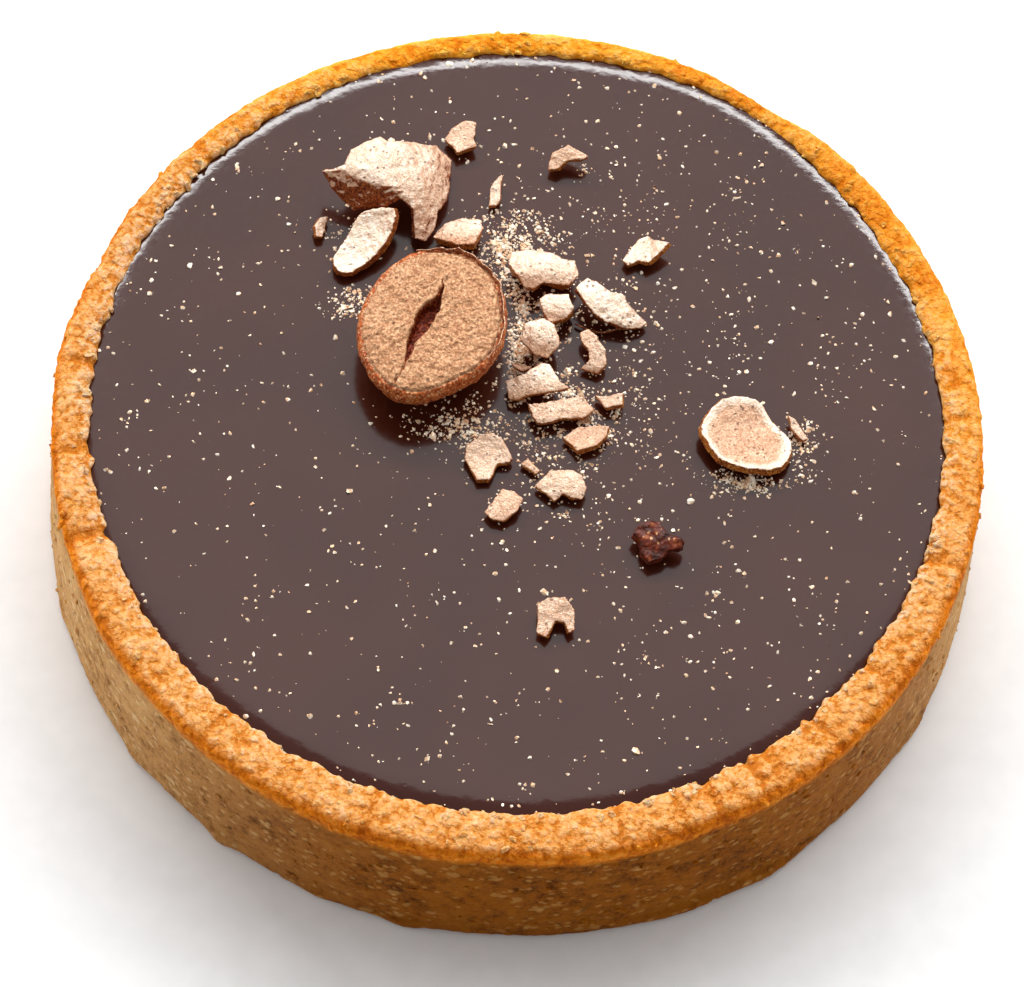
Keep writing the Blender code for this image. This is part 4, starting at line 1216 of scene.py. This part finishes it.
class ToppingLook(bpy.types.PropertyGroup):
    """Sizes and colours of the hazelnut and the broken pieces"""
    kernel_colour: colour_property("Kernel", "The bare round side of the hazelnut", "#BC5A1E")
    bare_colour: colour_property("Bare", "The broken pieces where no dust lies", "#B8641E")
    copper_colour: colour_property("Thin dust", "The broken pieces under thin dust", "#CC9674")
    cream_colour: colour_property("Thick dust", "The broken pieces under thick dust", "#FFE6CC")
    face_size: length_property("Face size", "Size of the faces the broken pieces are made of", 0.1)
    chip_height: length_property("Chip height", "How far their edges are chipped", 0.1)


class DustLook(bpy.types.PropertyGroup):
    """Amount, sizes and colour of the loose dust"""
    colour: colour_property("Dust", "The middle tone of the dust", "#F3D2AE")
    amount: FloatProperty(name="Amount", description="How much dust there is against the usual", default=1.0,
                          min=0.0, soft_max=2.0)
    smallest: length_property("Smallest", "Width of the smallest specks", 0.14)
    largest: length_property("Largest", "Width of the largest specks", 0.44)
    seed: IntProperty(name="Seed", description="Which random scatter is used", default=3, min=0)


class StageLook(bpy.types.PropertyGroup):
    """Brightness of the lamps and colour of the floor"""
    overhead: brightness_property("Overhead", "Brightness of the softbox above", 1.28)
    back: brightness_property("Back", "Brightness of the low strip behind", 20.0)
    left: brightness_property("Left", "Brightness of the panel on the left", 3.6)
    right: brightness_property("Right", "Brightness of the panel on the right", 1.9)
    surround: brightness_property("Surround", "Brightness of the room", 0.42)
    floor_colour: colour_property("Floor", "The paper the tart stands on", "#F3F3F3")


class TART_OT_stage(bpy.types.Operator):
    """Lay the floor and set up the camera and lamps"""
    bl_idname = "tart.stage"
    bl_label = "Stage"

    def execute(self, context):
        make_stage(context.scene.tart_stage)
        return {"FINISHED"}


class TART_OT_crust(bpy.types.Operator):
    """Build the baked pastry case"""
    bl_idname = "tart.crust"
    bl_label = "Pastry Case"

    def execute(self, context):
        make_crust(context.scene.tart_crust)
        return {"FINISHED"}


class TART_OT_case_crumbs(bpy.types.Operator):
    """Scatter crumbs on the pastry case"""
    bl_idname = "tart.case_crumbs"
    bl_label = "Pastry Crumbs"

    def execute(self, context):
        make_case_crumbs()
        return {"FINISHED"}


class TART_OT_ganache(bpy.types.Operator):
    """Pour the filling"""
    bl_idname = "tart.ganache"
    bl_label = "Ganache"

    def execute(self, context):
        make_ganache(context.scene.tart_ganache)
        return {"FINISHED"}


class TART_OT_hazelnut(bpy.types.Operator):
    """Build the half hazelnut and its strip of skin"""
    bl_idname = "tart.hazelnut"
    bl_label = "Hazelnut"

    def execute(self, context):
        make_hazelnut(context.scene.tart_topping)
        make_nut_skin()
        return {"FINISHED"}


class TART_OT_broken_pieces(bpy.types.Operator):
    """Build the broken copper-dusted pieces"""
    bl_idname = "tart.broken_pieces"
    bl_label = "Broken Pieces"

    def execute(self, context):
        make_broken_pieces(context.scene.tart_topping)
        return {"FINISHED"}


class TART_OT_chocolate_bit(bpy.types.Operator):
    """Build the bit of dark chocolate"""
    bl_idname = "tart.chocolate_bit"
    bl_label = "Chocolate Bit"

    def execute(self, context):
        make_chocolate_bit(context.scene.tart_topping)
        return {"FINISHED"}


class TART_OT_dust(bpy.types.Operator):
    """Scatter the lustre dust on the filling"""
    bl_idname = "tart.dust"
    bl_label = "Lustre Dust"

    def execute(self, context):
        make_dust(context.scene.tart_dust)
        return {"FINISHED"}


OPERATORS = (TART_OT_stage, TART_OT_crust, TART_OT_case_crumbs, TART_OT_ganache, TART_OT_hazelnut,
             TART_OT_broken_pieces, TART_OT_chocolate_bit, TART_OT_dust)
LOOKS = {"tart_crust": CrustLook, "tart_ganache": GanacheLook, "tart_topping": ToppingLook,
         "tart_dust": DustLook, "tart_stage": StageLook}


class TART_PT_panel(bpy.types.Panel):
    """The tart's settings and the pieces to build, in the order they are built"""
    bl_idname = "TART_PT_panel"
    bl_label = "Chocolate Tart"
    bl_space_type = "VIEW_3D"
    bl_region_type = "UI"
    bl_category = "Tart"

    def draw(self, context):
        for name, look in LOOKS.items():
            box = self.layout.box()
            box.label(text=look.__doc__)
            for setting in look.__annotations__:
                box.prop(getattr(context.scene, name), setting)
        for operator in OPERATORS:
            self.layout.operator(operator.bl_idname)


CLASSES = (*LOOKS.values(), *OPERATORS, TART_PT_panel)


def register():
    for each in CLASSES:
        bpy.utils.register_class(each)
    for name, look in LOOKS.items():
        setattr(bpy.types.Scene, name, PointerProperty(type=look))


def unregister():
    for name in LOOKS:
        delattr(bpy.types.Scene, name)
    for each in reversed(CLASSES):
        bpy.utils.unregister_class(each)


def main():
    register()
    bpy.ops.tart.stage()
    bpy.ops.tart.crust()
    bpy.ops.tart.case_crumbs()
    bpy.ops.tart.ganache()
    bpy.ops.tart.hazelnut()
    bpy.ops.tart.broken_pieces()
    bpy.ops.tart.chocolate_bit()
    bpy.ops.tart.dust()


if __name__ == "__main__":
    main()
